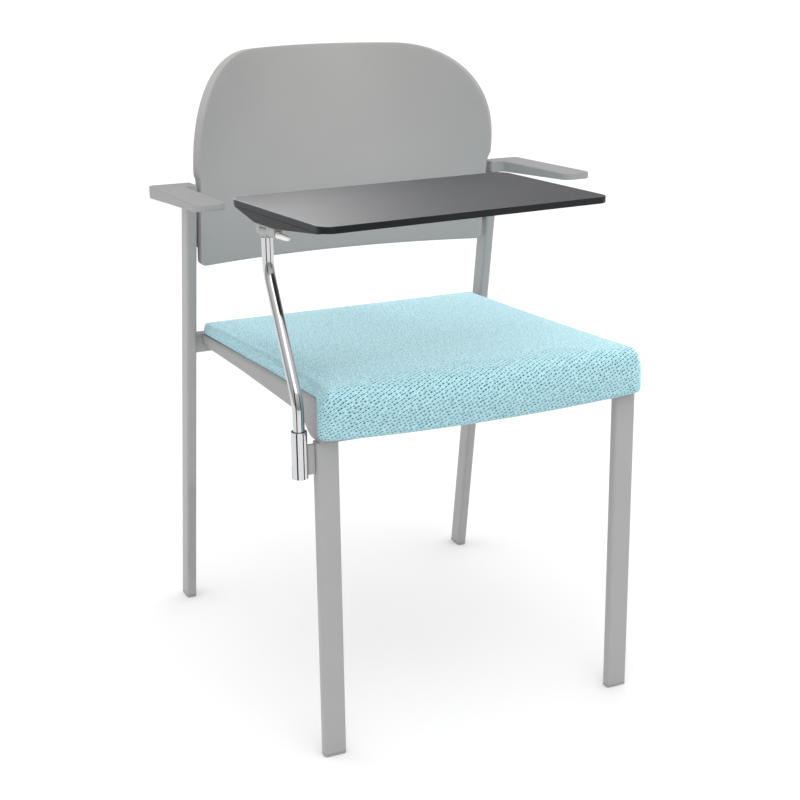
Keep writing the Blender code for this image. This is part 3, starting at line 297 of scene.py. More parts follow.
def armOutline(inset, sign):
    a = armSpec
    neck = postY(armUnder) - postDepth / 2 - a["neckCover"] + inset
    side, inner = chair["halfClear"] + inset, chair["halfClear"] + a["stepOut"] + inset
    outer = chair["halfClear"] + a["stepOut"] + a["width"] - inset
    rear, front = armRearY - inset, armRearY - a["length"] + inset
    small, rounded = a["smallCorner"] - inset, a["frontCorner"] - inset
    corners = [(side, rear, small), (outer, rear, a["rearCorner"] - inset), (outer, front, rounded),
               (inner, front, rounded), (inner, neck, a["innerCorner"] + inset), (side, neck, small)]
    return roundCorners(corners, a["cornerSteps"]) * (sign, 1)


for side, sign in (("left", -1), ("right", 1)):
    rings = slabRings(lambda inset: armOutline(inset, sign), armBottom, armTop,
                      armSpec["edge"], armSpec["edgeSteps"])
    ringsPiece("armPad_" + side, rings, greyPolypropylene, "chair", ["arm_" + side])

# legs: flat-oval tube, level at both ends; the posts lean back and stop just under the arms
legOutline = boxOutline(chair["tubeLong"], chair["tubeShort"], chair["tubeCorner"])
postOutline = boxOutline(chair["tubeShort"], postDepth, chair["tubeCorner"])
for side, sign in (("left", -1), ("right", 1)):
    section = legOutline + (sign * chair["legX"], chair["frontLegY"])
    rings = np.stack([atHeight(section, chair["footTop"]), atHeight(section, chair["legTop"])])
    ringsPiece("frontLeg_" + side, rings, powderCoat, "chair", ["front_leg_" + side])
    postX = sign * (chair["halfClear"] + chair["tubeShort"] / 2)
    foot = atHeight(postOutline + (postX, postY(chair["footTop"])), chair["footTop"])
    section = postOutline + (postX, postY(armUnder))
    head = atHeight(section, armBottom(section[:, 1]) - armSpec["postGap"])
    rings = np.stack([foot, head])
    ringsPiece("rearPost_" + side, rings, powderCoat, "chair", ["rear_post_" + side])
print("arms and legs made")

# back shell: y = middle line leaning back - wrap x across^2, the wrap growing with height,
# thick along the normal
backSpec = dict(
    bottom=0.555, top=0.8535, setback=0.0207, lean=0.195, leanGain=0.083, wrap=0.035, wrapGain=0.348,
    thick=0.012, half=0.22394, flare=0.0035, flareRun=0.014, flareStart=0.6785,
    cornerX=0.122, cornerZ=0.158, cornerPower=2.3, footCorner=0.008, edge=0.0022, centreZ=0.70,
    footSteps=12, sideSteps=102, shoulderSteps=160, outlineSteps=360, rings=30, edgeSteps=5,
    sharpAngle=60,
)


# a point at depth behind the front face: the face's point plus depth times its unit normal
def backPoint(x, z, depth):
    b = backSpec
    across, up = x / b["half"], z - b["bottom"]
    wrap = b["wrap"] + b["wrapGain"] * up
    middle = postY(b["bottom"]) + b["setback"] + b["lean"] * up + b["leanGain"] * up ** 2
    y = middle - wrap * across ** 2
    slopeX = -2 * wrap * across / b["half"]
    slopeZ = b["lean"] + 2 * b["leanGain"] * up - b["wrapGain"] * across ** 2
    normal = np.stack([-slopeX, np.ones_like(slopeX), -slopeZ], -1)
    normal /= np.linalg.norm(normal, axis=-1, keepdims=True)
    return np.stack([x, y, z], -1) + normal * np.asarray(depth)[..., None]


# outline seen from the front: foot arc, straight side that steps out above the arms,
# superellipse shoulder, flat top; evenly spaced and then mirrored
def backOutline():
    b = backSpec
    foot = np.linspace(0, math.pi / 2, b["footSteps"])
    low, high = b["bottom"] + b["footCorner"], b["top"] - b["cornerZ"]
    shoulder = np.linspace(0, math.pi / 2, b["shoulderSteps"])
    shoulderZ = high + b["cornerZ"] * np.sin(shoulder) ** (2 / b["cornerPower"])
    inward = b["cornerX"] * (1 - np.clip(np.cos(shoulder), 0, 1) ** (2 / b["cornerPower"]))
    upright = np.linspace(low, high, b["sideSteps"])[1:-1]
    x = np.concatenate([[0], b["half"] - b["footCorner"] * (1 - np.sin(foot)),
                        np.full(len(upright), b["half"]), b["half"] - inward, [0]])
    z = np.concatenate([[b["bottom"]], b["bottom"] + b["footCorner"] * (1 - np.cos(foot)),
                        upright, shoulderZ, [b["top"]]])
    share = np.clip((z - b["flareStart"]) / b["flareRun"], 0, 1)
    x[:-1] += b["flare"] * (share ** 2 * (3 - 2 * share))[:-1]
    walked = np.concatenate([[0], np.cumsum(np.hypot(np.diff(x), np.diff(z)))])
    even = np.linspace(0, walked[-1], b["outlineSteps"] // 2 + 1)
    half = np.stack([np.interp(even, walked, x), np.interp(even, walked, z)], -1)
    return np.concatenate([half, half[-2:0:-1] * (-1, 1)])


# rings from the middle of the front out to the rim, round it and back to the middle behind
outline = backOutline()
along = np.roll(outline, -1, 0) - np.roll(outline, 1, 0)
outward = np.stack([along[:, 1], -along[:, 0]], -1) / np.linalg.norm(along, axis=1, keepdims=True)
edge, thick = backSpec["edge"], backSpec["thick"]
angle = np.linspace(0, math.pi / 2, backSpec["edgeSteps"] + 1)
inset = np.concatenate([edge * (1 - np.sin(angle)), edge * (1 - np.cos(angle))])
depth = np.concatenate([edge * (1 - np.cos(angle)), thick - edge * (1 - np.sin(angle))])
rim = outline - inset[:, None, None] * outward
centre = np.array([0, backSpec["centreZ"]])
share = np.linspace(0, 1, backSpec["rings"] + 1)[:-1, None, None]
inner = centre + share * (rim[0] - centre)
flat = np.concatenate([inner, rim, inner[::-1]])
depths = np.concatenate([np.zeros(len(inner)), depth, np.full(len(inner), thick)])
shell = backPoint(flat[..., 0], flat[..., 1], np.broadcast_to(depths[:, None], flat.shape[:2]))
addPiece("backShell", shell, gridFaces(*shell.shape[:2]), shellLacquer, "chair", ["backrest_panel"],
         backSpec["sharpAngle"])
print("back shell made")

# stem: round tube carried along a line that leans back between two bends
stemSpec = dict(
    x=-0.2460, radius=0.00725, low=0.3913, lowBend=0.482, offset=0.090, top=0.66831, topRun=0.0415,
    bend=0.060, sides=48, bendSteps=24,
)


# the line (y, z) with its two corners rounded; end points stay
def stemLine():
    s = stemSpec
    corners = np.array([(0, s["low"]), (0, s["lowBend"]),
                        (s["offset"], s["top"] - s["topRun"]), (s["offset"], s["top"])])
    runs = [corners[:1]]
    for i in (1, 2):
        three = np.concatenate([corners[i - 1:i + 2], np.full((3, 1), s["bend"])], 1)
        runs.append(roundCorners(three, s["bendSteps"]).reshape(3, -1, 2)[1])
    return np.concatenate(runs + [corners[3:]])


# a ring round each point of a line in the plane x = const, square to the line's direction there
def tubeRings(line, radius, sides, x, y):
    along = np.gradient(line, axis=0)
    along /= np.linalg.norm(along, axis=1, keepdims=True)
    angle = np.arange(sides) * math.tau / sides
    a, b = radius * np.cos(angle), radius * np.sin(angle)
    return np.stack([np.broadcast_to(x + a, (len(line), sides)), y + line[:, :1] + b * along[:, 1:],
                     line[:, 1:] - b * along[:, :1]], -1)


stemRings = tubeRings(stemLine(), stemSpec["radius"], stemSpec["sides"], stemSpec["x"],
                      chair["frontLegY"])
ringsPiece("stemTube", stemRings, chromePlate, "stem_arm", ["tablet_stem"])


# a wall from one side's faces: the same faces turned for the inner side, and a strip along each
# open edge
def wallFaces(faces, count):
    edges = np.stack([faces, np.roll(faces, -1, 1)], -1).reshape(-1, 2)
    codes, turned = edges[:, 0] * count + edges[:, 1], edges[:, 1] * count + edges[:, 0]
    a, b = edges[~np.isin(turned, codes)].T
    return np.concatenate([faces, faces[:, ::-1] + count, np.stack([b, a, a + count, b + count], -1)])


# sleeve: radius x (cos, sin) of the angle at each level, with the stop pin's slot left out
sleeveSpec = dict(
    radius=0.0100, bore=0.0085, base=0.387, top=0.447, slotLow=0.4305, slotHigh=0.438,
    slotStart=-28.496, slotEnd=176.496, slotSteps=41, restSteps=32, sharpAngle=30,
    bevel=0.0004, bevelSegments=2, bevelAngle=50,
)
s = sleeveSpec
slotAngles = np.linspace(s["slotStart"], s["slotEnd"], s["slotSteps"])
restAngles = np.linspace(s["slotEnd"], s["slotStart"] + 360, s["restSteps"])[1:-1]
angles = np.radians(np.concatenate([slotAngles, restAngles]))
levels = np.array([s["base"], s["slotLow"], s["slotHigh"], s["top"]])
radii = np.array([s["radius"], s["bore"]])[:, None, None]
sides = np.stack(np.broadcast_arrays(stemSpec["x"] + radii * np.cos(angles),
                                     chair["frontLegY"] + radii * np.sin(angles), levels[:, None]), -1)
faces = gridFaces(len(levels), len(angles))
row, column = np.divmod(np.arange(len(faces)), len(angles))
faces = faces[~((row == 1) & (column < len(slotAngles) - 1))]
sleeve = addPiece("socketSleeve", sides, wallFaces(faces, len(levels) * len(angles)), chromePlate,
                  "chair", ["socket_sleeve"], s["sharpAngle"])
rimBevel = sleeve.modifiers.new("rimBevel", "BEVEL")
rimBevel.width, rimBevel.segments = s["bevel"], s["bevelSegments"]
rimBevel.angle_limit = math.radians(s["bevelAngle"])
rimBevel.harden_normals = True
print("stem and sleeve made")

# tablet: turned about the hinge point and drooping to its free end, both in degrees
tabletSpec = dict(
    hinge=(-0.246, -0.1677, 0.675), turn=9.0, droop=1.15, width=0.425, depth=0.232, rear=0.0825,
    side=0.0084, under=0.0213, thick=0.0085, corner=0.017, edge=0.0009, cornerSteps=12, edgeSteps=6,
)
tabletTurn = np.array(Matrix.Rotation(math.radians(tabletSpec["turn"]), 3, "Z")
                      @ Matrix.Rotation(math.radians(tabletSpec["droop"]), 3, "Y"))


def onTablet(points):
    return points @ tabletTurn.T + np.array(tabletSpec["hinge"])


def boardOutline(inset):
    t = tabletSpec
    middle = np.array([t["width"] / 2 - t["side"], t["rear"] - t["depth"] / 2])
    width, depth = t["width"] - 2 * inset, t["depth"] - 2 * inset
    return boxOutline(width, depth, t["corner"] - inset, t["cornerSteps"]) + middle


t = tabletSpec
boardRings = slabRings(boardOutline, lambda y: np.full_like(y, t["under"]),
                       lambda y: np.full_like(y, t["under"] + t["thick"]), t["edge"], t["edgeSteps"])
ringsPiece("writingBoard", onTablet(boardRings), greyLaminate, "tablet", ["tablet_board"])

# knob: profile of (radius, distance ahead of the hinge point), in mm, turned about the hinge axis
knobSpec = dict(sides=40, profile=(
    (0, 22.9), (2.5, 23.0), (2.5, 28.3), (4.0, 28.5), (4.4, 28.8), (4.4, 30.0), (4.1, 30.3),
    (2.9, 30.5), (2.8, 31.5), (2.8, 33.0), (3.5, 33.3), (3.8, 33.9), (3.85, 37.0), (3.8, 42.0),
    (3.5, 47.5), (3.2, 51.0), (2.8, 52.9), (2.0, 54.0), (1.0, 54.3), (0, 54.35)))
knobRadius, knobAhead = np.split(np.array(knobSpec["profile"]) * mm, 2, 1)
angle = np.arange(knobSpec["sides"]) * math.tau / knobSpec["sides"]
knobRings = np.stack(np.broadcast_arrays(knobRadius * np.cos(angle), -knobAhead,
                                         knobRadius * np.sin(angle)), -1)
addPiece("pullKnob", onTablet(knobRings), gridFaces(*knobRings.shape[:2]), whiteNylon, "knob",
         ["release_knob"])
print("tablet made")

# woven seat cloth: five-end satin of 2.2 mm yarns in pale aqua; its crossings, short dark dashes,
# form a square lattice turned by the weave, one lattice step being the square root of five yarns,
# with a ridge of yarn on both sides of a row; dashes are drawn coarser than real to show
clothSpec = dict(
    yarn=2.19 * mm, light="#b6dbe3", mid="#7cafbb", fleck="#0b2d36", sheen="#d6f0f5",
    dash=(0.22, 0.38), fade=(0.5, 1.1), stray=0.38, shade=(0.55, 1.0),   # in lattice steps; shares
    opens=(0.478, 0.512), topLitShare=0.8,             # metres along the cloth over which the painted shade of the dashes grows; share of a dash painted on the lit top
    streak=(3.2 * mm, 15 * mm), crest=2.6, tone=(0.35, 1.2), ridge=2.0, relief=0.5 * mm,
)


def satinCloth(name, spec):
    material, tree, shader = newMaterial(name, {
        "Roughness": 0.92, "IOR": 1.45, "Specular IOR Level": 0.2,
        "Sheen Weight": 0.6, "Sheen Roughness": 0.45, "Sheen Tint": linear(spec["sheen"])})
    place = addNode(tree, "ShaderNodeUVMap", uv_map="clothGrid").outputs["UV"]
    step = 1 / (5 * spec["yarn"])
    over = addNode(tree, "ShaderNodeVectorMath", {1: (step, 2 * step, 0)}, {0: place},
                   operation="DOT_PRODUCT")
    along = addNode(tree, "ShaderNodeVectorMath", {1: (2 * step, -step, 0)}, {0: place},
                    operation="DOT_PRODUCT")
    lattice = addNode(tree, "ShaderNodeCombineXYZ",
                      links={0: over.outputs["Value"], 1: along.outputs["Value"]}).outputs[0]
    cell = addNode(tree, "ShaderNodeVectorMath", links={0: lattice}, operation="FLOOR").outputs[0]
    inside = addNode(tree, "ShaderNodeVectorMath", links={0: lattice}, operation="FRACTION").outputs[0]
    chance = addNode(tree, "ShaderNodeTexWhiteNoise", links={"Vector": cell}, noise_dimensions="2D")
    # each dash strays a little from its crossing and is darker or paler than the next
    wander = spec["stray"]
    stray = addNode(tree, "ShaderNodeVectorMath", {1: (wander,) * 3, 2: (-0.5 - wander / 2,) * 3},
                    {0: chance.outputs["Color"]}, operation="MULTIPLY_ADD")
    offset = addNode(tree, "ShaderNodeVectorMath", links={0: inside, 1: stray.outputs[0]},
                     operation="ADD")
    shape = addNode(tree, "ShaderNodeVectorMath", {1: (1 / spec["dash"][0], 1 / spec["dash"][1], 0)},
                    {0: offset.outputs[0]}, operation="MULTIPLY")
    reach = addNode(tree, "ShaderNodeVectorMath", links={0: shape.outputs[0]}, operation="LENGTH")
    spot = addNode(tree, "ShaderNodeMapRange",
                   {"From Min": spec["fade"][0], "From Max": spec["fade"][1], "To Min": 1.0, "To Max": 0.0},
                   {"Value": reach.outputs["Value"]}, interpolation_type="SMOOTHSTEP")
    shade = addNode(tree, "ShaderNodeMapRange",
                    {"To Min": spec["shade"][0], "To Max": spec["shade"][1]},
                    {"Value": chance.outputs["Value"]})
    # painted shade: from the start of the nose the crossings are drawn darker than on top, standing in for
    # the shade in them on the front while the top is lit from above
    length = addNode(tree, "ShaderNodeSeparateXYZ", links={0: place}).outputs["Y"]
    bend = addNode(tree, "ShaderNodeMapRange",
                   {"From Min": spec["opens"][0], "From Max": spec["opens"][1],
                    "To Min": spec["topLitShare"], "To Max": 1.0},
                   {"Value": length}, interpolation_type="SMOOTHSTEP")
    # each dash's own darkness times the painted shade of the nose's front
    depth = addNode(tree, "ShaderNodeMath",
                    links={0: bend.outputs["Result"], 1: shade.outputs["Result"]}, operation="MULTIPLY")
    dash = addNode(tree, "ShaderNodeMath", links={0: spot.outputs["Result"], 1: depth.outputs[0]},
                   operation="MULTIPLY").outputs[0]
    # yarns: two ridges to a row, the crest painted paler as a painted highlight; the dye differs in short
    # streaks along the yarn
    acrossRow = addNode(tree, "ShaderNodeSeparateXYZ", links={0: inside}).outputs["X"]
    ridge = addNode(tree, "ShaderNodeMath", {1: 0.25}, {0: acrossRow}, operation="PINGPONG").outputs[0]
    run = addNode(tree, "ShaderNodeVectorMath",
                  {1: (1 / spec["streak"][0], 1 / spec["streak"][1], 0)}, {0: place},
                  operation="MULTIPLY")
    dye = addNode(tree, "ShaderNodeTexNoise", {"Scale": 1.0, "Detail": 2.0}, {"Vector": run.outputs[0]})
    crest = addNode(tree, "ShaderNodeMath", {1: spec["crest"]}, {0: ridge, 2: dye.outputs["Fac"]},
                    operation="MULTIPLY_ADD")
    tone = addNode(tree, "ShaderNodeMapRange",
                   {"From Min": spec["tone"][0], "From Max": spec["tone"][1]},
                   {"Value": crest.outputs[0]})
    # ground: the light tone on the crests is painted highlight, and the dye streaks shift the tone at
    # random
    ground = addNode(tree, "ShaderNodeMix", {6: linear(spec["mid"]), 7: linear(spec["light"])},
                     {0: tone.outputs["Result"]}, data_type="RGBA")
    colour = addNode(tree, "ShaderNodeMix", {7: linear(spec["fleck"])}, {0: dash, 6: ground.outputs[2]},
                     data_type="RGBA")
    tree.links.new(colour.outputs[2], shader.inputs["Base Color"])
    height = addNode(tree, "ShaderNodeMath", {1: spec["ridge"]}, {0: ridge}, operation="MULTIPLY")
    sunk = addNode(tree, "ShaderNodeMath", links={0: height.outputs[0], 1: dash}, operation="SUBTRACT")
    relief = addNode(tree, "ShaderNodeBump", {"Strength": 1.0, "Distance": spec["relief"]},
                     {"Height": sunk.outputs[0]})
    tree.links.new(relief.outputs["Normal"], shader.inputs["Normal"])
    return material


seatCloth = satinCloth("seatCloth", clothSpec)

# cushion: padding wrapped over the pan from its rear edge over the nose; a grid of stations along
# by points round
cushionSpec = dict(
    panRearY=0.2073, panRearTop=0.44847, slope=0.0747, panFrontY=-0.2697, nose=0.020, bottom=0.4303,
    rim=0.0157, rearGain=0.0032, crown=0.0030, corner=0.0125, inset=0.0025, flare=0.0072, draw=0.0020,
    edges=(0.006, 0.014), rearRound=0.0028, frontRound=0.012, power=2.6, sunk=0.0008,
    bow=(0.0025, 0.0075, 2.2),                                        # sag, rise at the corners, power
    stations=110, crowding=0.9, noseSteps=40, edgePoints=10, topPoints=70, tip=0.00002,
    voxel=0.006, pressure=0.35, frames=20, cap=0.006,
    heldLift=0.0005, freeLift=0.004, topLift=0.008, nearest=16,       # lift: height over the pan
)


# the pan's (y, z) line from rear to nose to the foot of the front, a little sunk, with outward
# directions
def cushionLine():
    c = cushionSpec
    tilt = math.atan(c["slope"])
    upright = math.pi / 2 - tilt
    noseY = c["panFrontY"] + c["nose"]
    noseZ = c["panRearTop"] + c["slope"] * (c["panRearY"] - noseY) - c["nose"] / math.cos(tilt)
    angle = np.linspace(upright, math.pi, c["noseSteps"])
    reach = c["nose"] - c["sunk"]
    rear = (c["panRearY"], c["panRearTop"] - c["sunk"] / math.cos(tilt))
    nose = np.stack([noseY + reach * np.cos(angle), noseZ + reach * np.sin(angle)], -1)
    line = np.concatenate([[rear], nose, [(c["panFrontY"] + c["sunk"], c["bottom"])]])
    walked = np.concatenate([[0], np.cumsum(np.linalg.norm(np.diff(line, axis=0), axis=1))])
    ease = np.linspace(0, 1, c["stations"])
    ease = ease - c["crowding"] * np.sin(math.tau * ease) / math.tau   # crowded towards both ends
    walk = ease * walked[-1]
    points = np.stack([np.interp(walk, walked, line[:, 0]), np.interp(walk, walked, line[:, 1])], -1)
    noseRun = [0, walked[1], walked[-2], walked[-1]]
    turn = np.interp(walk, noseRun, [upright, upright, math.pi, math.pi])
    return points, np.stack([np.cos(turn), np.sin(turn)], -1), walk, walked[-1], noseZ


# section round the padding: superellipse edges, a crowned top and a flat underside, the edges
# rounding off at both ends
def cushionGrid():
    c = cushionSpec
    points, out, walk, total, noseZ = cushionLine()
    thick = c["rim"] + c["rearGain"] * (1 - walk / total) ** 2
    belly = np.sin(math.pi * walk / total)
    crown = c["crown"] * belly
    # round the nose the outside is squarer than the pan: from the nose's middle, at angle a, it is
    # d(cos a + sin a) + sqrt(r^2 - d^2 (cos a - sin a)^2) away on a corner of radius r, or on the flat
    bent = (math.pi - np.arctan2(out[:, 1], out[:, 0])) / (math.pi / 2 + math.atan(c["slope"]))
    a = np.clip(bent, 0, 1) * math.pi / 2
    cosine, sine = np.cos(a), np.sin(a)
    reach = c["nose"] + c["rim"]
    d = reach - c["corner"]
    rounded = d * (cosine + sine) + np.sqrt(np.maximum(c["corner"] ** 2 - (d * (cosine - sine)) ** 2, 0))
    flat = reach / np.maximum(cosine, sine)
    onCorner = np.minimum(rounded * cosine, rounded * sine) > d
    thick = thick * (np.where(onCorner, rounded, flat) - c["nose"]) / c["rim"]
    wide = chair["panHalf"] - c["inset"] + c["flare"] * np.maximum(-out[:, 0], 0) - c["draw"] * belly
    for left, rounding in ((walk, c["rearRound"]), (total - walk, c["frontRound"])):
        near = 1 - np.clip(np.maximum(left, c["tip"]) / rounding, 0, 1)
        endRound = (1 - near ** c["power"]) ** (1 / c["power"])
        thick = thick * endRound
        wide = wide - rounding * (1 - endRound)
    thick, crown, wide = thick[:, None], crown[:, None], wide[:, None]
    angle = np.linspace(0, math.pi / 2, c["edgePoints"] + 1)
    edge = c["edges"][0] + (c["edges"][1] - c["edges"][0]) * walk / total
    edgeIn = edge[:, None] * (1 - np.cos(angle) ** (2 / c["power"]))
    edgeUp = np.sin(angle) ** (2 / c["power"])
    side = wide - edgeIn
    spread = np.linspace(1, -1, c["topPoints"])[1:-1]
    top = side[:, -1:] * spread
    under = -wide * spread
    x = np.concatenate([side, top, -side[:, ::-1], under], 1)
    lift = np.concatenate([np.broadcast_to(edgeUp, side.shape), np.ones_like(top),
                           np.broadcast_to(edgeUp[::-1], side.shape), np.zeros_like(under)], 1) * thick
    lift = lift + np.where(lift > 0, crown * (1 - (x / wide) ** 2), 0)
    yz = points[:, None] + out[:, None] * lift[..., None]
    # the front's lower edge bows: it hangs lower in the middle than the pan and rises to both corners
    sag, rise, bend = c["bow"]
    drop = noseZ - c["bottom"]
    stretch = 1 + (sag - rise * np.abs(x / wide) ** bend) / drop
    yz[..., 1] = np.where(yz[..., 1] < noseZ, noseZ + (yz[..., 1] - noseZ) * stretch, yz[..., 1])
    # cloth measures: across is x, running on down the rounded edges; along is the length of the
    # middle line over the top
    downEdge = np.clip(thick + crown - lift, 0, 1) * (np.abs(x) > side[:, -1:])
    acrossCloth = x + np.sign(x) * downEdge
    over = yz[:, c["edgePoints"] + c["topPoints"] // 2]
    alongCloth = np.concatenate([[0], np.cumsum(np.linalg.norm(np.diff(over, axis=0), axis=1))])
    cloth = np.stack(np.broadcast_arrays(acrossCloth, alongCloth[:, None]), -1)
    return np.concatenate([x[..., None], yz], -1), cloth, lift


grid, clothPlace, lift = cushionGrid()
rows, columns = grid.shape[:2]
points, lift = grid.reshape(-1, 3), lift.ravel()
mesh = bpy.data.meshes.new("seatPad")
mesh.from_pydata(points.tolist(), [], gridFaces(rows, columns).tolist() + endFaces(rows, columns))
solid = bmesh.new()
solid.from_mesh(mesh)
bmesh.ops.recalc_face_normals(solid, faces=solid.faces)
solid.to_mesh(mesh)
solid.free()
loopVerts = np.zeros(len(mesh.loops), np.int32)
mesh.loops.foreach_get("vertex_index", loopVerts)
uv = mesh.uv_layers.new(name="clothGrid")
uv.data.foreach_set("uv", clothPlace.reshape(-1, 2)[loopVerts].ravel())
mesh.materials.append(seatCloth)
mesh.shade_smooth()
seatPad = newObject("seatPad", mesh)


def vertexArray(mesh):
    flat = np.zeros(len(mesh.vertices) * 3, np.float32)
    mesh.vertices.foreach_get("co", flat)
    return flat.reshape(-1, 3)


def nearTree(points):
    tree = KDTree(len(points))
    for number, point in enumerate(points):
        tree.insert(point, number)
    tree.balance()
    return tree


# pressure swells an even remesh of the pad, which is held where it lies on the pan
def swellPad(mesh, points, lift):
    c = cushionSpec
    blank = newObject("blank", mesh.copy())
    remesh = blank.modifiers.new("remesh", "REMESH")
    remesh.mode, remesh.voxel_size = "VOXEL", c["voxel"]
    even = blank.evaluated_get(bpy.context.evaluated_depsgraph_get())
    blank.data = bpy.data.meshes.new_from_object(even)
    blank.modifiers.remove(remesh)
    before = vertexArray(blank.data)
    onGrid = nearTree(points)
    closest = np.array([onGrid.find(point)[1] for point in before])
    held = blank.vertex_groups.new(name="held")
    held.add(np.flatnonzero(lift[closest] < c["heldLift"]).tolist(), 1.0, "REPLACE")
    cloth = blank.modifiers.new("cloth", "CLOTH").settings
    cloth.use_pressure = True
    cloth.uniform_pressure_force = c["pressure"]
    cloth.effector_weights.gravity = 0
    cloth.vertex_group_mass = "held"
    for number in range(1, c["frames"] + 1):
        bpy.context.scene.frame_set(number)
    after = vertexArray(blank.evaluated_get(bpy.context.evaluated_depsgraph_get()).to_mesh())
    bpy.context.scene.frame_set(1)
    bpy.data.objects.remove(blank)
    return before, after - before


# the swelling, capped, carried to the grid: each point takes the mean of the nearest, and the
# underside stays
c = cushionSpec
before, shift = swellPad(mesh, points, lift)
length = np.linalg.norm(shift, axis=1, keepdims=True)
shift *= np.minimum(1, c["cap"] / np.maximum(length, 1e-9))
around = nearTree(before)
near = np.array([[found[1] for found in around.find_n(point, c["nearest"])] for point in points])
free = np.clip(lift[:, None] / c["freeLift"], 0, 1)
swollen = points + shift[near].mean(1) * free
moved = np.linalg.norm(swollen - points, axis=1)[lift > c["topLift"]]
print("cushion swelled", round(float(length.max()) / mm, 1), "mm at most before the cap,",
      "and in the mean", round(float(moved.mean()) / mm, 2), "mm")
mesh.vertices.foreach_set("co", swollen.astype(np.float32).ravel())
mesh.update()
smooth = seatPad.modifiers.new("smooth", "SUBSURF")
smooth.levels = smooth.render_levels = 1
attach(seatPad, "chair")
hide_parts("seat_cushion")
print("cushion made")

# the solids that stay take these finishes
finishOf = {"frame_paint": powderCoat, "grey_plastic": greyPolypropylene, "back_shell": shellLacquer,
            "tablet_laminate": greyLaminate, "black_plastic": blackAbs, "white_plastic": whiteNylon,
            "chrome": chromePlate, "zinc_steel": zincPlate, "seat_fabric": seatCloth}
for node in nodes.values():
    for place in node.material_slots:
        place.material = finishOf[place.material.name.split(".")[0]]
print("solids finished")

# plain white floor
floorSpec = dict(size=40.0, tone="#f8f8f8", roughness=0.9)
floorPaint = {"Base Color": linear(floorSpec["tone"]), "Roughness": floorSpec["roughness"]}
half = floorSpec["size"] / 2
floorCorners = [(-half, -half, 0), (half, -half, 0), (half, half, 0), (-half, half, 0)]
floorMesh = bpy.data.meshes.new("floor")
floorMesh.from_pydata(floorCorners, [], [(0, 1, 2, 3)])
floorMesh.materials.append(newMaterial("paleFloor", floorPaint)[0])
floor = newObject("floor", floorMesh)
floor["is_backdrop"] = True

# an even white studio, brighter overhead; shiny surfaces see it greyer near the horizon;
# each pair is its strength low and high, between the two heights of rises
worldSpec = dict(seen=1.08, rises=(0.1, 0.8), matt=(0.80, 1.30), shiny=(0.42, 1.05))
world = bpy.data.worlds.new("studio")
world.use_nodes = True
tree = world.node_tree
direction = addNode(tree, "ShaderNodeTexCoord").outputs["Object"]
upward = addNode(tree, "ShaderNodeSeparateXYZ", links={0: direction}).outputs["Z"]
surface = tree.nodes["Background"]
surface.inputs["Color"].default_value = (1, 1, 1, 1)
surface.inputs["Strength"].default_value = worldSpec["seen"]
rays = addNode(tree, "ShaderNodeLightPath")
for kind, (low, high) in (("Is Diffuse Ray", worldSpec["matt"]), ("Is Glossy Ray", worldSpec["shiny"])):
    bright = addNode(tree, "ShaderNodeMapRange",
                     {"From Min": worldSpec["rises"][0], "From Max": worldSpec["rises"][1],
                      "To Min": low, "To Max": high}, {"Value": upward})
    sky = addNode(tree, "ShaderNodeBackground", {"Color": (1, 1, 1, 1)},
                  {"Strength": bright.outputs["Result"]})
    surface = addNode(tree, "ShaderNodeMixShader",
                      links={0: rays.outputs[kind], 1: surface.outputs[0], 2: sky.outputs[0]})
tree.links.new(surface.outputs[0], tree.nodes["World Output"].inputs["Surface"])
bpy.context.scene.world = world

# a soft key from the front, a low fill from the right for the seat under the board, and a wide lamp
# behind for the board's sheen; the last two light only the piece that they name
lampSpec = dict(
    key=dict(place=(-0.4, -1.9, 2.7), aim=(0, 0, 0.5), size=1.8, power=14, only=None),
    fill=dict(place=(3.2, -0.4, 1.95), aim=(0, -0.05, 0.47), size=1.6, power=112, only="seatPad"),
    sheen=dict(place=(-0.6, 2.1, 2.1), aim=(-0.1, -0.2, 0.7), size=3.2, power=215, only="writingBoard"),
)
for name, spec in lampSpec.items():
    data = bpy.data.lights.new(name, "AREA")
    data.size = spec["size"]
    data.energy = spec["power"]
    lamp = newObject(name, data)
    lamp.location = spec["place"]
    lamp.rotation_euler = (Vector(spec["aim"]) - lamp.location).to_track_quat("-Z", "Y").to_euler()
    if spec["only"]:
        lit = bpy.data.collections.new(name + "Lit")
        lit.objects.link(bpy.data.objects[spec["only"]])
        lamp.light_linking.receiver_collection = lit

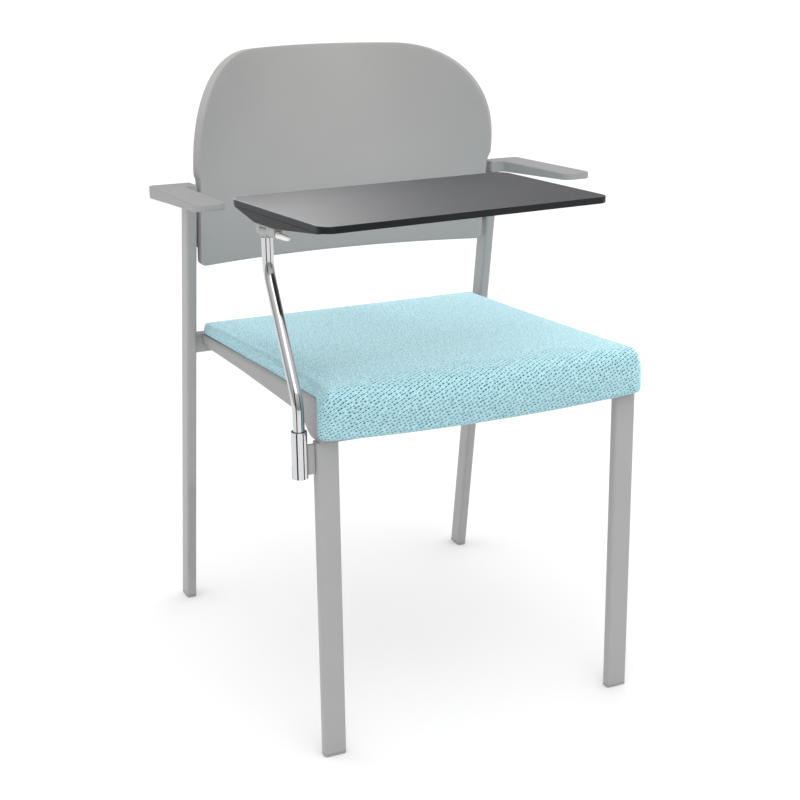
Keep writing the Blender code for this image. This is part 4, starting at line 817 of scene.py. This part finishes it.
# camera at the photo's angle, in metres, degrees and mm
cameraSpec = dict(place=(-0.852, -1.9377, 1.059), pitch=72.659, yaw=-26.154, lens=70.11, sensor=36,
                  shift=(-0.0775, -0.0181))
yaw = math.radians(cameraSpec["yaw"])
camera = newObject("camera", bpy.data.cameras.new("camera"))
camera.location = cameraSpec["place"]
camera.rotation_euler = (math.radians(cameraSpec["pitch"]), 0, yaw)
camera.data.sensor_width = cameraSpec["sensor"]
camera.data.lens = cameraSpec["lens"]
camera.data.shift_x, camera.data.shift_y = cameraSpec["shift"]
bpy.context.scene.camera = camera
bpy.context.scene.view_settings.view_transform = "Standard"

# dark cards round the stem, seen only by mirrors: chrome needs something dark to draw its lines;
# each is (degrees to the right of the way to the camera, width, height)
cardSpec = dict(distance=0.5, cards=((-27, 0.19, 0.85), (66, 0.15, 0.75), (-146, 0.20, 0.22)),
                tone="#3c3c3c", roughness=0.9)
cardPaint = {"Base Color": linear(cardSpec["tone"]), "Roughness": cardSpec["roughness"]}
toCamera = np.array([math.sin(yaw), -math.cos(yaw)])
toRight = np.array([math.cos(yaw), math.sin(yaw)])
cards = np.array(cardSpec["cards"])
turn = np.radians(cards[:, :1])
away = toCamera * np.cos(turn) + toRight * np.sin(turn)
middle = np.array([stemSpec["x"], chair["frontLegY"]]) + cardSpec["distance"] * away
reach = np.stack([-away[:, 1], away[:, 0]], -1) * cards[:, 1:2] / 2
low, high = np.zeros((len(cards), 1)), cards[:, 2:]
corners = np.stack([np.hstack([middle - reach, low]), np.hstack([middle + reach, low]),
                    np.hstack([middle + reach, high]), np.hstack([middle - reach, high])], 1)
cardMesh = bpy.data.meshes.new("cards")
cardMesh.from_pydata(corners.reshape(-1, 3).tolist(), [],
                     np.arange(4 * len(cards)).reshape(-1, 4).tolist())
cardMesh.materials.append(newMaterial("darkCard", cardPaint)[0])
cardPanel = newObject("cards", cardMesh)
cardPanel.visible_camera = cardPanel.visible_diffuse = cardPanel.visible_shadow = False
cardPanel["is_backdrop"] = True
print("studio made")

low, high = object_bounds()
print("size", [round(v, 4) for v in (high - low)])
